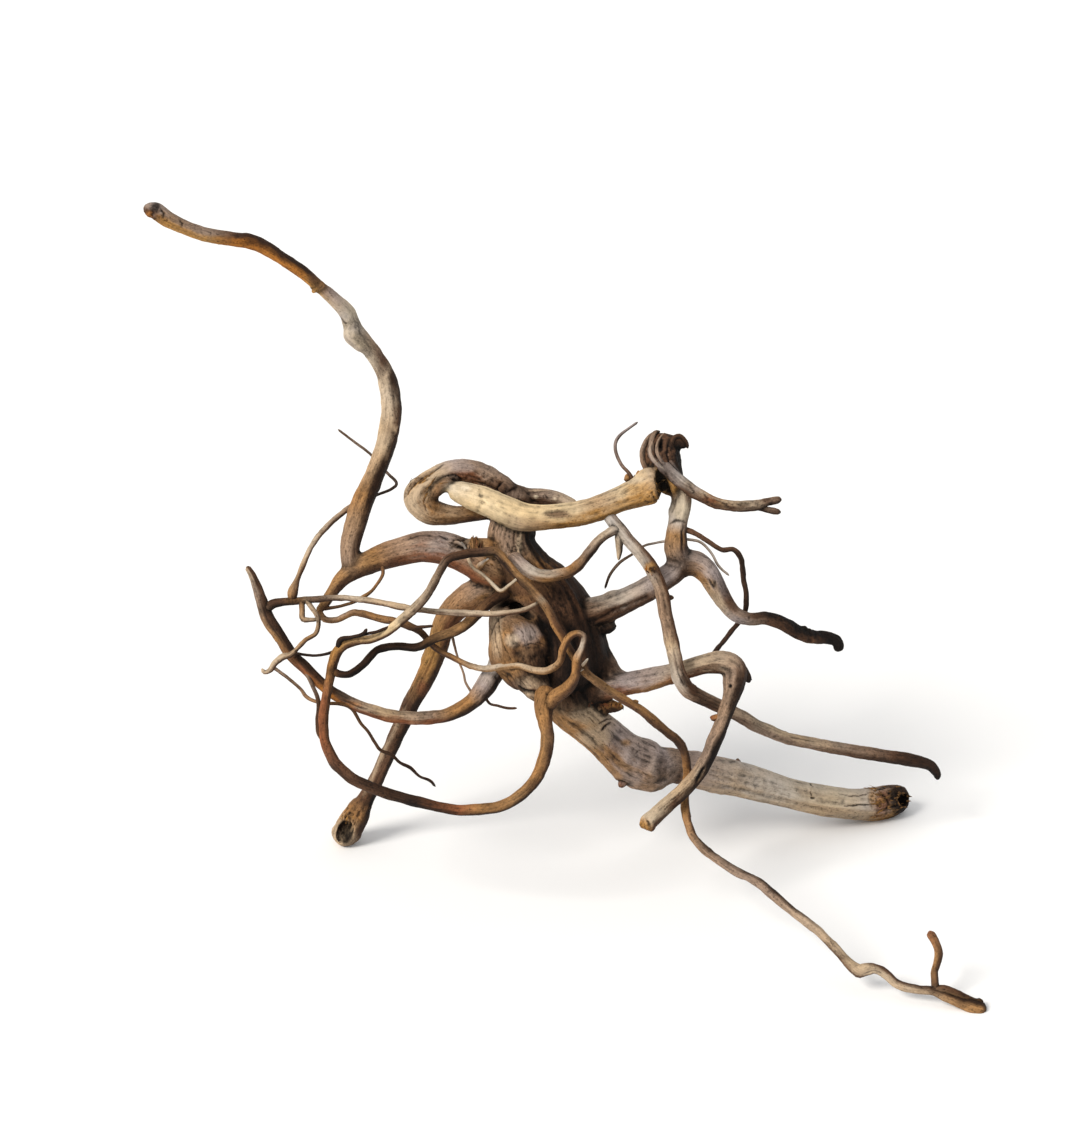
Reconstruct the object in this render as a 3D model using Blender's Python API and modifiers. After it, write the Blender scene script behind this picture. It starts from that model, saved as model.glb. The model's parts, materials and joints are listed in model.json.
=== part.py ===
"""Bogwood root: the weathered root crown of a small tree, dug out of a bog, peeled and dried.

It grew as one piece, so it is one solid. Every root is a tapered round tube along a route of
chosen points. The stout roots run together in the stump, and the thin roots and twigs grow out
of them. Two ends are hollow, one is broken off, and three ends carry the root on small flats.

The routes are drawn on an upright sheet at full size. A point on it is written as
(across, down, out, thick): millimetres from the sheet's left edge, from its top edge, out of the
sheet towards the eye, and the root's thickness there.
"""

import math

import bmesh
import bpy
import numpy as np
from mathutils import Vector

NAME = "bogwood_root"
MM = 0.001

# The drawing sheet: its middle, the height angle that it is seen from and the eye's distance, in mm
SHEET_MIDDLE = (270.0, 282.5)
VIEW_HEIGHT = math.radians(25.0)
EYE_DISTANCE = 1568.0

# Where the sheet's middle lies over the root's own origin, in mm: right, back and up
SHEET_PLACE = (-9.9, 54.7, 157.0)

# How finely the stout wood is fused, how its creases are rounded, what that takes off, and the faces kept
FUSE_CELL = 1.6 * MM
CREASE_ROUNDING = 0.5
CREASE_PASSES = 5
SMOOTHING_LOSS = 0.35 * MM
STOUT_FACES = 4200

# The points along a root lie at most this far apart, in mm, and closer on a thin one
LONGEST_STEP = 7.5
STEP_IN_THICKNESS = 2.0
SHORTEST_STEP = 3.5

# A root thicker than the first has 8 sides, one thicker than the second 6 sides, and a hair 4
EIGHT_SIDED = 7.0
SIX_SIDED = 1.9
THINNEST_HALF = 0.4 * MM
CAP_WELD = 0.001 * MM

# The faces round and along a hollow's cutter
HOLLOW_SEGMENTS = 12
HOLLOW_RINGS = 8

# The slab below the ground, wide enough for the whole root
GROUND_WIDTH = 1000 * MM
GROUND_DEPTH = 50 * MM

WOOD_COLOUR = (0.36, 0.25, 0.16, 1.0)
WOOD_ROUGHNESS = 0.72

# Stout wood: the stump with its lobes, the trunk, the leg and the thick arms
STOUT_ROUTES = {
    "neck_and_crown": [
        (257.5, 252.0, -2, 17), (255.4, 264.0, -2, 22), (256.0, 274.0, -1, 24),
        (261.2, 286.4, -2, 30.5), (270.0, 300.0, -4, 40), (276.8, 318.0, -6, 43),
        (282.0, 336.0, -7, 40), (285.0, 347.0, -8, 28)],
    "mound": [
        (253.8, 309.0, 8, 20.5), (258.0, 317.5, 11, 30), (260.3, 327.0, 12, 33),
        (264.5, 337.0, 12, 27)],
    "chin": [
        (260.0, 336.5, 14, 13), (267.5, 344.0, 18, 11), (273.5, 350.0, 23, 9.5)],
    "right_flank": [
        (274.0, 296.0, -8, 32), (282.5, 314.0, -9, 36), (289.8, 331.0, -9, 33.5),
        (296.0, 344.0, -9, 22)],
    "arm_shoulder": [
        (294.0, 326.0, -8, 16), (300.0, 333.0, -7, 17), (307.0, 339.0, -5, 11.5),
        (315.0, 341.5, -2, 9)],
    "trunk": [
        (279.0, 343.0, -6, 27), (286.0, 354.2, -8, 23), (294.3, 361.8, -11, 20.6),
        (302.3, 368.7, -15, 20.8), (312.5, 378.0, -21, 23.2), (321.0, 382.6, -26, 25),
        (328.0, 384.0, -31, 21.2), (336.0, 383.4, -36, 16.8), (345.0, 384.7, -41, 17),
        (355.0, 387.2, -46, 17.8), (370.0, 390.5, -53, 17.4), (386.0, 394.7, -60, 15.8),
        (400.0, 398.3, -65, 15.2), (415.0, 401.0, -70.5, 15.4), (429.0, 402.1, -76.5, 16),
        (439.0, 401.7, -83.2, 17.6), (446.8, 400.0, -87, 16), (453.4, 400.6, -90, 10.5)],
    "trunk_stub": [
        (317.0, 386.0, -22, 8), (311.5, 391.5, -19, 5), (309.3, 393.6, -18, 2.6)],
    "leg": [
        (254.0, 297.0, 0, 18), (242.0, 296.0, -2, 16), (231.0, 301.5, -4, 13.5),
        (223.0, 311.0, -6, 11.6), (218.2, 325.2, -11, 10.2), (212.1, 339.8, -20, 9.6),
        (206.0, 350.9, -27, 8.8), (200.8, 362.3, -33, 8.1), (194.0, 377.2, -41, 7.6),
        (187.9, 390.6, -48, 7.6), (183.3, 399.0, -52.5, 8.6), (178.6, 406.8, -55.0, 12.6),
        (173.8, 415.0, -57.5, 13.8), (170.2, 422.2, -59.2, 10.2)],
    "left_arm": [
        (258.0, 292.0, 0, 20), (243.0, 284.0, 1, 19.4), (230.0, 277.0, 3, 17), (216.0, 273.6, 4, 15.8),
        (201.0, 276.0, 4, 13.8), (188.0, 280.3, 5, 12.2), (178.0, 284.5, 7, 10.8),
        (170.8, 290.0, 9, 7.6), (166.0, 296.5, 10.5, 5.6), (162.5, 302.0, 12, 4.8),
        (158.8, 306.2, 13, 3.4)],
    "rising_root": [
        (176.0, 285.0, 7, 10), (175.2, 274.0, 7, 10), (178.5, 260.0, 5, 10.7), (182.2, 249.0, 2, 10.5),
        (187.0, 238.0, -2, 10.1), (192.0, 225.0, -7, 10.1), (195.2, 211.0, -11, 10.7),
        (195.3, 200.0, -13, 10.5), (193.4, 190.0, -13, 9.6), (189.5, 181.5, -11, 8.4),
        (183.7, 173.5, -7, 8.6), (177.0, 165.5, -2, 9.2), (173.3, 156.5, 3, 8.2),
        (166.0, 149.0, 9, 6.7), (158.0, 142.0, 14, 6.4), (150.0, 135.4, 18, 6.6),
        (139.5, 128.3, 23, 6.6), (127.5, 121.6, 28, 7.5), (115.5, 119.6, 33, 7.1),
        (104.0, 117.9, 37, 7.4), (94.0, 114.6, 40, 7.2), (84.5, 110.2, 44, 7.6), (77.0, 105.3, 47, 7.8),
        (72.6, 106.8, 49, 5.2)],
    "rising_root_stub": [
        (160.5, 142.5, 14, 6), (156.0, 146.6, 15, 2.6)],
    "right_arm": [
        (274.0, 314.0, -4, 22), (286.0, 309.5, -4, 18.5), (298.0, 306.3, -2, 15.2),
        (310.0, 301.6, -1, 12.9), (320.0, 297.0, 0, 12), (329.0, 291.8, 0, 11.8), (337.0, 286.0, 0, 12),
        (342.0, 280.0, 0, 12)],
    "riser_to_knot": [
        (341.0, 244.0, 6, 10.8), (340.8, 252.0, 5, 10.6), (339.3, 260.0, 3, 9.8),
        (338.4, 267.0, 2, 10.6), (338.4, 275.0, 1, 12), (341.0, 282.0, 0, 13)],
    "hook_root": [
        (339.0, 281.7, 0, 13), (347.6, 281.9, 0, 12.4), (353.6, 286.4, -1, 11.2),
        (357.9, 293.3, -3, 9.8), (362.1, 300.9, -5, 8.8), (367.6, 307.3, -7, 7.4),
        (375.3, 309.8, -10, 6.4), (383.0, 309.4, -14, 7), (391.0, 311.9, -18, 7.2),
        (397.5, 315.7, -22, 7.2), (405.0, 318.4, -26, 6.8), (413.0, 319.0, -31, 6.2),
        (418.4, 321.2, -34, 5.8), (419.4, 326.0, -36, 4.8)],
    "middle_arm": [
        (288.0, 346.0, -6, 14), (300.0, 344.8, -4, 12.2), (312.0, 342.5, -1, 11.4),
        (326.0, 339.6, 2, 11), (340.0, 336.2, 3.5, 10.2), (352.0, 332.5, 5, 10.2),
        (361.7, 331.5, 6, 11.4), (367.1, 334.7, 6.5, 12.6), (367.0, 342.0, 7, 11.4),
        (365.0, 350.0, 8.5, 8.4), (361.6, 360.0, 11, 7.4), (357.8, 370.0, 13, 7.8),
        (353.3, 380.2, 16, 7.4), (347.6, 389.4, 18.5, 7.4), (340.4, 396.9, 21, 7.8),
        (331.5, 404.7, 24, 7.8), (325.4, 410.4, 28, 9), (321.9, 413.8, 29.5, 9.6)],
    "corner_spike": [
        (369.5, 333.0, 3, 6.4), (373.0, 337.6, 1, 5), (374.8, 341.6, 0, 2.8)],
    "loop": [
        (258.0, 253.0, -4, 13), (252.5, 245.0, -3, 11.6), (245.0, 240.0, -3, 11.6),
        (236.5, 236.2, -3, 11.2), (227.5, 235.8, -2, 11.6), (219.5, 238.8, -1, 12),
        (212.4, 244.2, 0, 14.6), (210.0, 249.6, 0, 17), (215.2, 256.4, -1, 13.4),
        (226.0, 258.1, -3, 9.4), (235.0, 257.3, -5, 8.4), (244.0, 256.2, -6, 7.6),
        (252.0, 254.5, -6, 8)],
    "loop_tail": [
        (256.0, 247.0, -4, 11), (264.0, 248.6, -3, 9), (273.0, 248.8, -2, 8.5), (280.5, 250.2, 0, 7),
        (288.0, 252.8, 4, 4.4)],
    "pale_root": [
        (224.6, 244.6, 3, 7.5), (229.8, 246.2, 4, 11), (236.0, 248.4, 6, 13), (243.0, 250.8, 8, 13.8),
        (252.0, 254.8, 10, 14), (261.0, 258.3, 11, 13.8), (270.0, 259.0, 12, 12.2),
        (280.0, 258.3, 12, 11.9), (290.0, 256.8, 12, 12.4), (300.0, 253.9, 12, 12.8),
        (310.0, 250.0, 12, 13), (319.0, 246.6, 12, 15.4), (325.5, 243.4, 12, 19),
        (330.5, 242.8, 12, 19)],
    "knot": [
        (338.5, 247.0, 5, 11), (334.3, 239.0, 6, 16.4), (331.0, 230.0, 6, 20.4), (329.9, 223.0, 6, 18),
        (327.6, 217.4, 6, 9)],
    "knot_beak": [
        (333.5, 223.5, 8, 11), (339.0, 221.4, 9, 7.2), (343.4, 224.0, 10, 2.8)],
    "torn_ridge": [
        (247.0, 275.0, 5, 10), (238.0, 273.0, 6, 8), (232.0, 273.2, 7, 5.4), (226.8, 273.2, 9, 2)],
    "black_knob": [
        (298.0, 310.0, -4, 9), (303.4, 313.8, -4, 9), (305.0, 316.8, -4, 6.4)],
    "splintered_wood": [
        (290.0, 350.0, -10, 11), (300.0, 352.3, -8, 9.4), (307.5, 353.6, -6, 6.2),
        (312.0, 353.6, -5, 2.4)],
    "neck_stub": [
        (266.0, 291.5, 2, 9), (270.5, 285.5, 2, 8), (272.6, 281.8, 2, 5.4)],
}

# Thin roots: each grows out of a stouter one or joins two of them
THIN_ROUTES = {
    "left_low_root": [
        (255.0, 328.5, 4, 13), (247.6, 336.0, 9, 10.6), (242.0, 344.6, 12, 9.4),
        (235.0, 351.6, 14, 7.8), (226.0, 356.7, 16, 6.8), (215.0, 358.8, 17, 6.4),
        (202.0, 358.9, 18, 6), (189.5, 356.6, 19, 6.2), (176.5, 352.0, 20, 6), (166.8, 347.0, 20, 6),
        (160.5, 342.2, 20, 6), (152.4, 334.2, 19, 6.1), (145.4, 327.2, 18, 6.2),
        (140.0, 318.7, 17, 6.2), (134.8, 311.2, 16, 6.6), (131.9, 304.0, 16, 5.8),
        (129.0, 295.2, 18, 4.6), (126.6, 288.8, 21, 3.8), (123.7, 283.6, 24, 2.8)],
    "left_cross_root": [
        (132.8, 305.0, 16, 5), (138.0, 301.6, 18, 4.3), (145.0, 300.9, 19, 3.7),
        (155.0, 300.0, 20, 3.4), (167.0, 299.2, 20, 3.1), (176.0, 299.5, 21, 2.9),
        (187.5, 301.0, 22.5, 3), (196.5, 303.0, 24, 3.2), (212.0, 305.4, 27, 2.9),
        (224.5, 306.5, 29, 3), (235.5, 307.0, 31, 3.3), (247.5, 307.0, 33, 3), (257.5, 306.0, 35, 2.8),
        (263.5, 304.8, 37, 2.6), (267.5, 302.8, 39, 2.2), (271.0, 300.4, 41, 1.8)],
    "waved_root": [
        (159.5, 305.5, 12.5, 3.4), (162.5, 310.0, 13, 3.2), (168.0, 310.2, 14, 3),
        (173.0, 308.0, 16, 3.2), (177.5, 306.6, 17, 3.8), (184.0, 308.0, 19, 4),
        (190.0, 309.5, 20, 4.2), (197.5, 311.0, 21, 4), (205.0, 313.5, 19, 4), (211.0, 317.0, 15, 3.6),
        (216.0, 323.0, 11.5, 3.2), (221.5, 326.5, 12, 3), (227.5, 329.5, 14, 3), (235.0, 333.0, 17, 3),
        (243.0, 334.5, 20, 3), (252.0, 333.5, 24, 3), (260.0, 333.4, 28, 3), (268.0, 335.5, 32, 3.2),
        (275.0, 335.0, 37, 3.4), (280.3, 331.0, 43, 3.8), (281.6, 325.0, 47, 3.9),
        (284.2, 319.6, 50, 3.6), (288.5, 317.0, 52, 3.1), (291.9, 318.4, 52, 2.8),
        (291.3, 323.5, 51, 2.9), (288.6, 330.0, 48, 3.9), (287.8, 338.0, 42, 5),
        (284.0, 344.5, 36, 6.2), (277.5, 349.0, 31, 7), (273.5, 355.0, 30, 6.6)],
    "crossing_root": [
        (166.2, 335.8, 31, 4), (170.0, 337.2, 30, 3.8), (175.0, 337.0, 28, 3.7),
        (181.5, 332.5, 24, 3.8), (188.5, 325.5, 21, 4), (197.5, 323.4, 20, 4), (209.0, 323.8, 20, 4),
        (218.0, 319.2, 20, 4.6), (230.8, 313.9, 21, 5.2), (238.6, 307.4, 20, 5.4),
        (246.6, 300.6, 17, 5.4), (254.0, 296.6, 11, 5)],
    "arch_root": [
        (274.5, 345.0, 22, 12), (271.8, 352.8, 28, 10.4), (272.6, 361.0, 31, 7.8),
        (273.8, 369.0, 33, 6.8), (272.6, 379.2, 34, 6.3), (268.2, 389.5, 35, 6),
        (260.2, 398.2, 36, 5.7), (250.3, 403.4, 36, 5.5), (240.0, 405.0, 36, 5.5),
        (230.0, 405.2, 35, 5.5), (221.0, 403.9, 35, 5.3), (207.0, 400.5, 34, 5.5),
        (192.2, 396.2, 34, 5.3), (181.8, 392.4, 34, 5.5), (173.6, 387.8, 34, 5.7),
        (166.6, 380.2, 35, 5.7), (162.7, 370.8, 34, 5.2), (161.7, 360.0, 33, 4.8),
        (163.0, 350.0, 32, 4.6), (164.8, 340.0, 31, 4.7), (166.6, 331.0, 30, 4.9),
        (170.0, 324.6, 30, 5), (176.5, 321.2, 30, 4.6), (186.0, 319.6, 30, 4.2),
        (194.2, 315.8, 31, 4.6), (200.6, 310.4, 32, 4.8), (207.9, 303.9, 33, 4.6),
        (215.0, 295.0, 35, 4.4), (219.8, 286.0, 35, 4.3), (223.8, 279.8, 34, 4.2),
        (232.0, 277.5, 31, 4.2), (241.0, 276.6, 28, 4.3), (248.2, 276.2, 26, 4.6),
        (253.0, 281.2, 29, 4.6), (260.0, 289.2, 34, 4.3), (266.5, 296.2, 38, 4.3),
        (272.5, 303.2, 41, 4.3), (278.0, 312.5, 42, 4.2), (283.0, 321.5, 42, 4), (288.0, 330.2, 41, 4),
        (293.5, 337.2, 40, 4.1), (303.0, 344.2, 38, 4.3), (312.5, 350.2, 36, 4.5),
        (320.5, 355.5, 34, 4.4), (327.3, 361.2, 31, 4.6), (334.0, 366.8, 28, 4.6),
        (339.4, 371.2, 24, 4.3), (342.5, 377.2, 18, 4.1), (343.6, 385.0, 11, 4.1),
        (343.1, 393.0, 8.5, 4.3), (342.4, 400.4, 12, 4.4), (342.8, 407.6, 18, 4.4),
        (345.3, 415.6, 24, 4.3), (350.8, 423.4, 31, 4.4), (359.7, 430.6, 38, 4.5),
        (367.8, 436.0, 43, 4.7), (374.8, 439.3, 47, 4.4), (381.8, 443.3, 51, 4.6),
        (388.8, 449.8, 55, 4.8), (394.8, 454.9, 58, 4.6), (405.8, 462.9, 63, 4.7),
        (416.4, 473.2, 67, 4.5), (423.8, 481.4, 70, 4.7), (429.3, 485.8, 72, 5.8),
        (433.6, 485.0, 73, 5.8), (437.6, 484.6, 74, 4.8), (442.8, 487.4, 75, 4.5),
        (448.7, 492.5, 76, 4.4), (457.5, 494.9, 77.5, 4.4), (466.5, 495.8, 79, 4.6),
        (473.0, 498.4, 80, 5.2), (480.0, 501.2, 80.5, 6), (486.5, 504.0, 81, 8), (492.6, 505.6, 81, 8)],
    "tip_strand": [
        (467.0, 494.8, 79, 4), (473.0, 495.2, 80, 4.4), (481.3, 499.0, 80, 4.6),
        (487.0, 501.5, 80, 4.6), (491.4, 500.8, 80, 3.8)],
    "upright_twig": [
        (467.6, 495.0, 79, 4), (467.4, 490.0, 79, 3.8), (467.3, 485.5, 78, 3.6),
        (468.9, 480.0, 77, 3.9), (469.1, 476.0, 76, 4), (467.7, 471.3, 74, 3.8), (465.6, 467.6, 72, 4),
        (464.9, 465.8, 71.5, 3.2)],
    "bowed_root": [
        (256.0, 278.0, 18, 7), (260.5, 283.0, 23, 7), (266.0, 286.9, 25.5, 6.8),
        (272.5, 288.4, 26, 6.4), (279.2, 287.6, 25, 6), (285.2, 285.6, 24, 5.6),
        (290.0, 281.8, 22, 5.2), (294.0, 276.9, 20, 5), (298.1, 271.6, 18, 4.9),
        (302.6, 267.6, 17, 4.8), (307.0, 265.2, 16, 5), (311.0, 264.8, 15, 4)],
    "falling_root": [
        (303.6, 257.0, 12, 6), (310.2, 265.2, 15, 6.5), (315.2, 271.2, 15, 6.4),
        (319.9, 276.5, 15, 6.6), (324.5, 282.3, 15, 7.2), (328.0, 289.2, 15, 6.8),
        (330.4, 296.0, 15, 6.6), (332.4, 305.0, 15, 6.5), (334.3, 314.0, 15, 6.6),
        (336.0, 323.0, 15, 6.8), (337.9, 331.6, 16, 7), (340.3, 339.4, 14.5, 7.8),
        (344.2, 345.2, 11, 7.8), (350.4, 348.9, 6, 7.2), (357.5, 352.3, 0.5, 6.5),
        (370.0, 358.4, -7, 6.5), (380.0, 363.6, -14, 6.2), (390.0, 368.2, -20, 6.2),
        (400.0, 370.9, -26, 6), (425.0, 375.3, -38, 6.2), (445.0, 378.5, -48, 6.2),
        (457.0, 380.6, -53, 6.2), (464.3, 382.7, -57, 5.6), (468.2, 386.4, -59, 4.4),
        (468.9, 389.8, -60, 2.8)],
    "falling_root_stub": [
        (333.0, 298.8, 14, 3.4), (336.8, 299.2, 13, 2)],
    "hanging_stub": [
        (310.5, 263.5, 15, 4.6), (309.8, 270.0, 15, 4.4), (309.8, 276.0, 14, 3),
        (309.3, 280.3, 14, 1.4)],
    "forked_twig": [
        (331.0, 232.0, 13, 6), (336.0, 237.2, 14, 6.2), (341.3, 242.0, 14, 6.4), (348.2, 246.6, 12, 6),
        (355.8, 250.6, 9, 5.6), (363.0, 252.7, 6, 5.4), (371.0, 253.5, 2, 5.6), (379.0, 252.8, -1, 5.4),
        (384.0, 251.1, -3, 4.1), (388.0, 250.4, -4, 4), (390.6, 250.2, -5, 3)],
    "forked_twig_tine": [
        (377.5, 253.5, -1, 4), (383.0, 254.8, -3, 3.1), (387.0, 255.6, -5, 3.4),
        (390.2, 256.3, -6, 2.3)],
    "draped_twig": [
        (341.2, 264.4, 2, 3), (347.6, 266.9, 4, 2.6), (353.6, 270.7, 5, 2.6), (360.8, 275.0, 4, 2.7),
        (366.9, 275.2, 2, 2.7), (370.6, 279.8, -2, 2.8), (371.9, 290.0, -8, 2.8),
        (373.3, 299.0, -12, 2.8), (372.0, 307.5, -15, 2.6), (368.0, 313.0, -13.5, 2.4),
        (362.0, 320.5, -7, 2.4), (357.0, 327.0, 1, 2.4), (355.5, 331.0, 4, 2.2)],
    "corner_knob": [
        (360.5, 358.8, 10, 4), (356.8, 359.2, 11, 3.4), (355.0, 358.8, 11.5, 2)],
    "trunk_spike": [
        (369.0, 384.0, -52, 5.6), (368.8, 379.6, -52, 1.8)],
    "arch_stub": [
        (316.0, 352.2, 35, 3.6), (319.2, 350.8, 35, 2)],
    "torn_crown_left": [
        (313.5, 241.0, 13, 4), (313.3, 237.2, 14, 1.6)],
    "torn_crown_right": [
        (319.0, 240.0, 13, 4), (319.3, 235.6, 13.5, 1.6)],
    "left_small_twig": [
        (177.5, 252.5, -1, 3), (172.5, 255.8, 1, 2.8), (166.0, 261.0, 5, 2.8), (160.0, 267.3, 9, 2.7),
        (155.0, 275.0, 13, 2.6), (151.5, 283.0, 16, 2.5), (148.5, 290.5, 18.5, 2.8),
        (146.3, 296.0, 20, 5.4), (146.2, 300.0, 19.5, 4.4)],
    "crooked_twig": [
        (152.5, 299.5, 20, 2.8), (156.0, 304.5, 21, 2.7), (159.0, 309.3, 22, 2.5),
        (158.9, 314.0, 23, 2.3), (157.6, 317.4, 24, 2.5), (153.2, 319.8, 25, 2.3),
        (149.0, 324.0, 25, 2.5), (145.3, 327.5, 25, 3.2), (141.0, 329.0, 25, 3.8),
        (137.6, 331.6, 25, 3.4), (135.2, 335.2, 24, 2.7), (132.4, 336.3, 24, 2.3),
        (131.0, 334.6, 24, 1.9)],
    "crooked_twig_rung": [
        (150.8, 299.8, 20, 2.8), (151.0, 305.0, 20, 2.8), (151.4, 309.6, 20.5, 2.7),
        (155.0, 310.2, 21, 2.2), (159.2, 309.8, 22, 2)],
    "torn_bits": [
        (239.0, 285.0, 5, 4.4), (241.5, 282.0, 20, 2.8), (244.3, 279.7, 27, 1.7)],
}

# Hair roots and the finest twigs
HAIR_ROUTES = {
    "curled_hair": [
        (317.2, 241.4, 12, 2.4), (314.2, 236.4, 14.8, 1.8), (310.9, 233.0, 15, 1.7),
        (308.4, 228.0, 15, 1.7), (307.5, 223.0, 15, 1.7), (309.0, 218.9, 14, 1.7),
        (313.5, 215.1, 12, 1.5), (318.8, 211.3, 10, 1.4)],
    "right_hair": [
        (342.0, 269.6, 1, 1.5), (350.0, 271.2, -1, 1.4), (355.5, 276.5, -3, 1.3),
        (359.5, 283.5, -4, 1.3), (364.5, 288.0, -6, 1.1)],
    "middle_hair": [
        (337.0, 270.2, 1, 1.5), (329.0, 271.5, 2, 1.3), (322.0, 273.2, 4, 1.3), (316.0, 277.5, 6, 1.4),
        (310.0, 281.5, 8, 1.6), (305.0, 287.5, 8, 1.6), (302.5, 294.5, 6, 1.2)],
    "crown_hair": [
        (233.0, 276.5, 20, 2.2), (236.0, 283.5, 24, 1.8), (241.5, 287.6, 27, 1.8),
        (246.5, 292.5, 31, 1.8), (250.5, 295.6, 34, 1.9), (255.0, 292.5, 35, 1.7),
        (259.8, 289.0, 34, 1.6)],
    "white_torn_hair": [
        (289.5, 334.5, 41, 2.6), (292.2, 332.0, 42, 1.8), (294.0, 329.5, 43, 1.2)],
    "back_hair": [
        (183.5, 249.5, 0, 2.0), (190.5, 247.0, -8, 1.5), (195.3, 245.0, -11, 1.5),
        (198.3, 241.8, -13, 1.5), (193.5, 236.5, -17, 1.4), (186.0, 228.0, -20, 1.4),
        (177.5, 221.5, -20, 1.4), (169.0, 215.0, -18, 1.2)],
    "under_arm_hair": [
        (190.5, 281.5, 7, 2), (191.4, 287.5, 11, 1.7), (186.5, 295.0, 17, 1.7), (181.5, 298.8, 20, 2.2),
        (176.0, 301.6, 18, 1.7), (169.0, 303.6, 15, 1.7), (161.5, 304.8, 12.5, 1.9)],
    "trailing_hair": [
        (136.6, 334.0, 24, 2), (143.0, 338.5, 24, 1.7), (150.0, 344.5, 23, 1.7), (153.0, 348.5, 23, 2),
        (157.5, 350.8, 24, 1.9), (163.0, 351.8, 27, 1.9), (170.0, 352.3, 24, 1.9),
        (176.0, 354.8, 20, 1.8), (180.5, 362.0, 16, 1.6), (184.0, 366.0, 14, 1.6),
        (187.5, 371.5, 12, 1.7), (190.5, 375.5, 10, 2), (195.5, 377.5, 8, 1.9), (200.0, 381.5, 5, 1.6),
        (205.0, 384.0, 2, 1.9), (210.0, 388.5, 0, 1.5), (215.0, 390.5, -3, 1.6),
        (217.7, 393.5, -5, 1.2)],
    "braided_hair": [
        (152.5, 334.5, 19.5, 2.6), (156.0, 342.5, 23, 2.1), (159.2, 351.0, 28, 2.1),
        (158.8, 361.0, 31, 2.2), (159.6, 367.5, 33, 2.2), (163.8, 373.0, 34, 2.2)],
    "bridge_hair": [
        (147.0, 326.8, 19, 1.8), (156.5, 328.0, 24, 1.4), (163.0, 327.2, 28, 1.5),
        (168.5, 325.4, 30, 1.6)],
    "dark_knob_hair": [
        (169.2, 325.5, 30, 3.2), (170.2, 320.3, 32, 3), (176.0, 318.9, 33, 2), (181.5, 317.3, 34, 2.2),
        (183.4, 314.6, 35, 1.7)],
    "knob_link_hair": [
        (181.0, 317.6, 33.5, 1.6), (188.0, 316.2, 34, 1.5), (195.5, 313.6, 32, 1.5)],
    "waved_root_stub": [
        (206.0, 314.0, 19, 2), (212.5, 313.6, 19, 1.8), (216.5, 313.2, 20, 1.5)],
    "shadow_hair": [
        (226.0, 318.0, 19.5, 1.6), (228.0, 326.0, 15, 1.3), (229.5, 331.0, 14.5, 1.3),
        (231.8, 337.0, 14, 1.3), (232.8, 341.5, 14, 1.3), (236.5, 347.5, 13, 1.4)],
    "low_hair": [
        (241.5, 346.5, 12, 1.8), (244.5, 351.8, 12, 1.4), (249.0, 353.2, 12, 1.3),
        (254.0, 354.4, 11, 1.4), (258.5, 354.3, 10, 1.2)],
}

# Hollows, as (across, down, out) of the middle, then half sizes in mm along X, Y and Z, then a tilt
HOLLOWS = {
    "leg_end_hollow": ((172.4, 416.4, -51.3), (4.3, 6.5, 6.6), (12.0, 28.0)),
    "pale_root_hollow": ((332.0, 243.5, 15.5), (3.2, 6.0, 8.0), (0.0, -22.0)),
    "crown_scoop": ((259.0, 293.0, 30.0), (15.0, 9.0, 8.5), (0.0, 8.0)),
    "broken_end_hollow": ((450.0, 400.0, -82.0), (5.0, 4.5, 4.0), (0.0, 0.0)),
}


def clear_scene():
    for thing in list(bpy.data.objects):
        bpy.data.objects.remove(thing)


def sheet_to_world(across, down, out):
    """The place in metres of a point of the drawing, on the eye's line through it."""
    nearer = (EYE_DISTANCE - out) / EYE_DISTANCE
    right = (across - SHEET_MIDDLE[0]) * nearer
    up = (SHEET_MIDDLE[1] - down) * nearer
    back = up * math.sin(VIEW_HEIGHT) - out * math.cos(VIEW_HEIGHT)
    high = up * math.cos(VIEW_HEIGHT) + out * math.sin(VIEW_HEIGHT)
    return Vector((right + SHEET_PLACE[0], back + SHEET_PLACE[1], high + SHEET_PLACE[2])) * MM


def smooth_route(route):
    """Places and half thicknesses in metres along a smooth curve through the route's points."""
    places = [sheet_to_world(*point[:3]) for point in route]
    halves = [0.5 * point[3] * MM * (EYE_DISTANCE - point[2]) / EYE_DISTANCE for point in route]
    rows = np.array([(*place, half) for place, half in zip(places, halves)])
    ends = np.vstack([2 * rows[0] - rows[1], rows, 2 * rows[-1] - rows[-2]])
    smooth = []
    for index in range(1, len(rows)):
        before, start, end, after = ends[index - 1:index + 3]
        length = np.linalg.norm(end[:3] - start[:3]) / MM
        step = min(LONGEST_STEP, max(SHORTEST_STEP, STEP_IN_THICKNESS * 2 * start[3] / MM))
        pieces = max(1, round(length / step))
        for piece in range(pieces):
            t = piece / pieces
            smooth.append(0.5 * (2 * start + (end - before) * t
                                 + (2 * before - 5 * start + 4 * end - after) * t * t
                                 + (3 * start - before - 3 * end + after) * t ** 3))
    smooth.append(rows[-1])
    return np.array(smooth)


def root_tube(name, route, collection, spare=0.0):
    """One root as a closed mesh tube with filled ends, as wide as a round one of its thickness."""
    rows = smooth_route(route)
    thickest = max(point[3] for point in route)
    sides = 8 if thickest > EIGHT_SIDED else 6 if thickest > SIX_SIDED else 4
    halves = (rows[:, 3] + spare) * 2.0 / (1.0 + math.cos(math.pi / sides))
    curve = bpy.data.curves.new(name, "CURVE")
    curve.dimensions = "3D"
    curve.bevel_depth = 1.0
    curve.bevel_resolution = (sides - 4) // 2
    curve.use_fill_caps = True
    line = curve.splines.new("POLY")
    line.points.add(len(rows) - 1)
    line.points.foreach_set("co", np.column_stack([rows[:, :3], np.ones(len(rows))]).ravel())
    line.points.foreach_set("radius", np.maximum(halves, THINNEST_HALF))
    guide = bpy.data.objects.new(name + "_curve", curve)
    collection.objects.link(guide)
    return curve_to_mesh(name, guide, collection)


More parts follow.
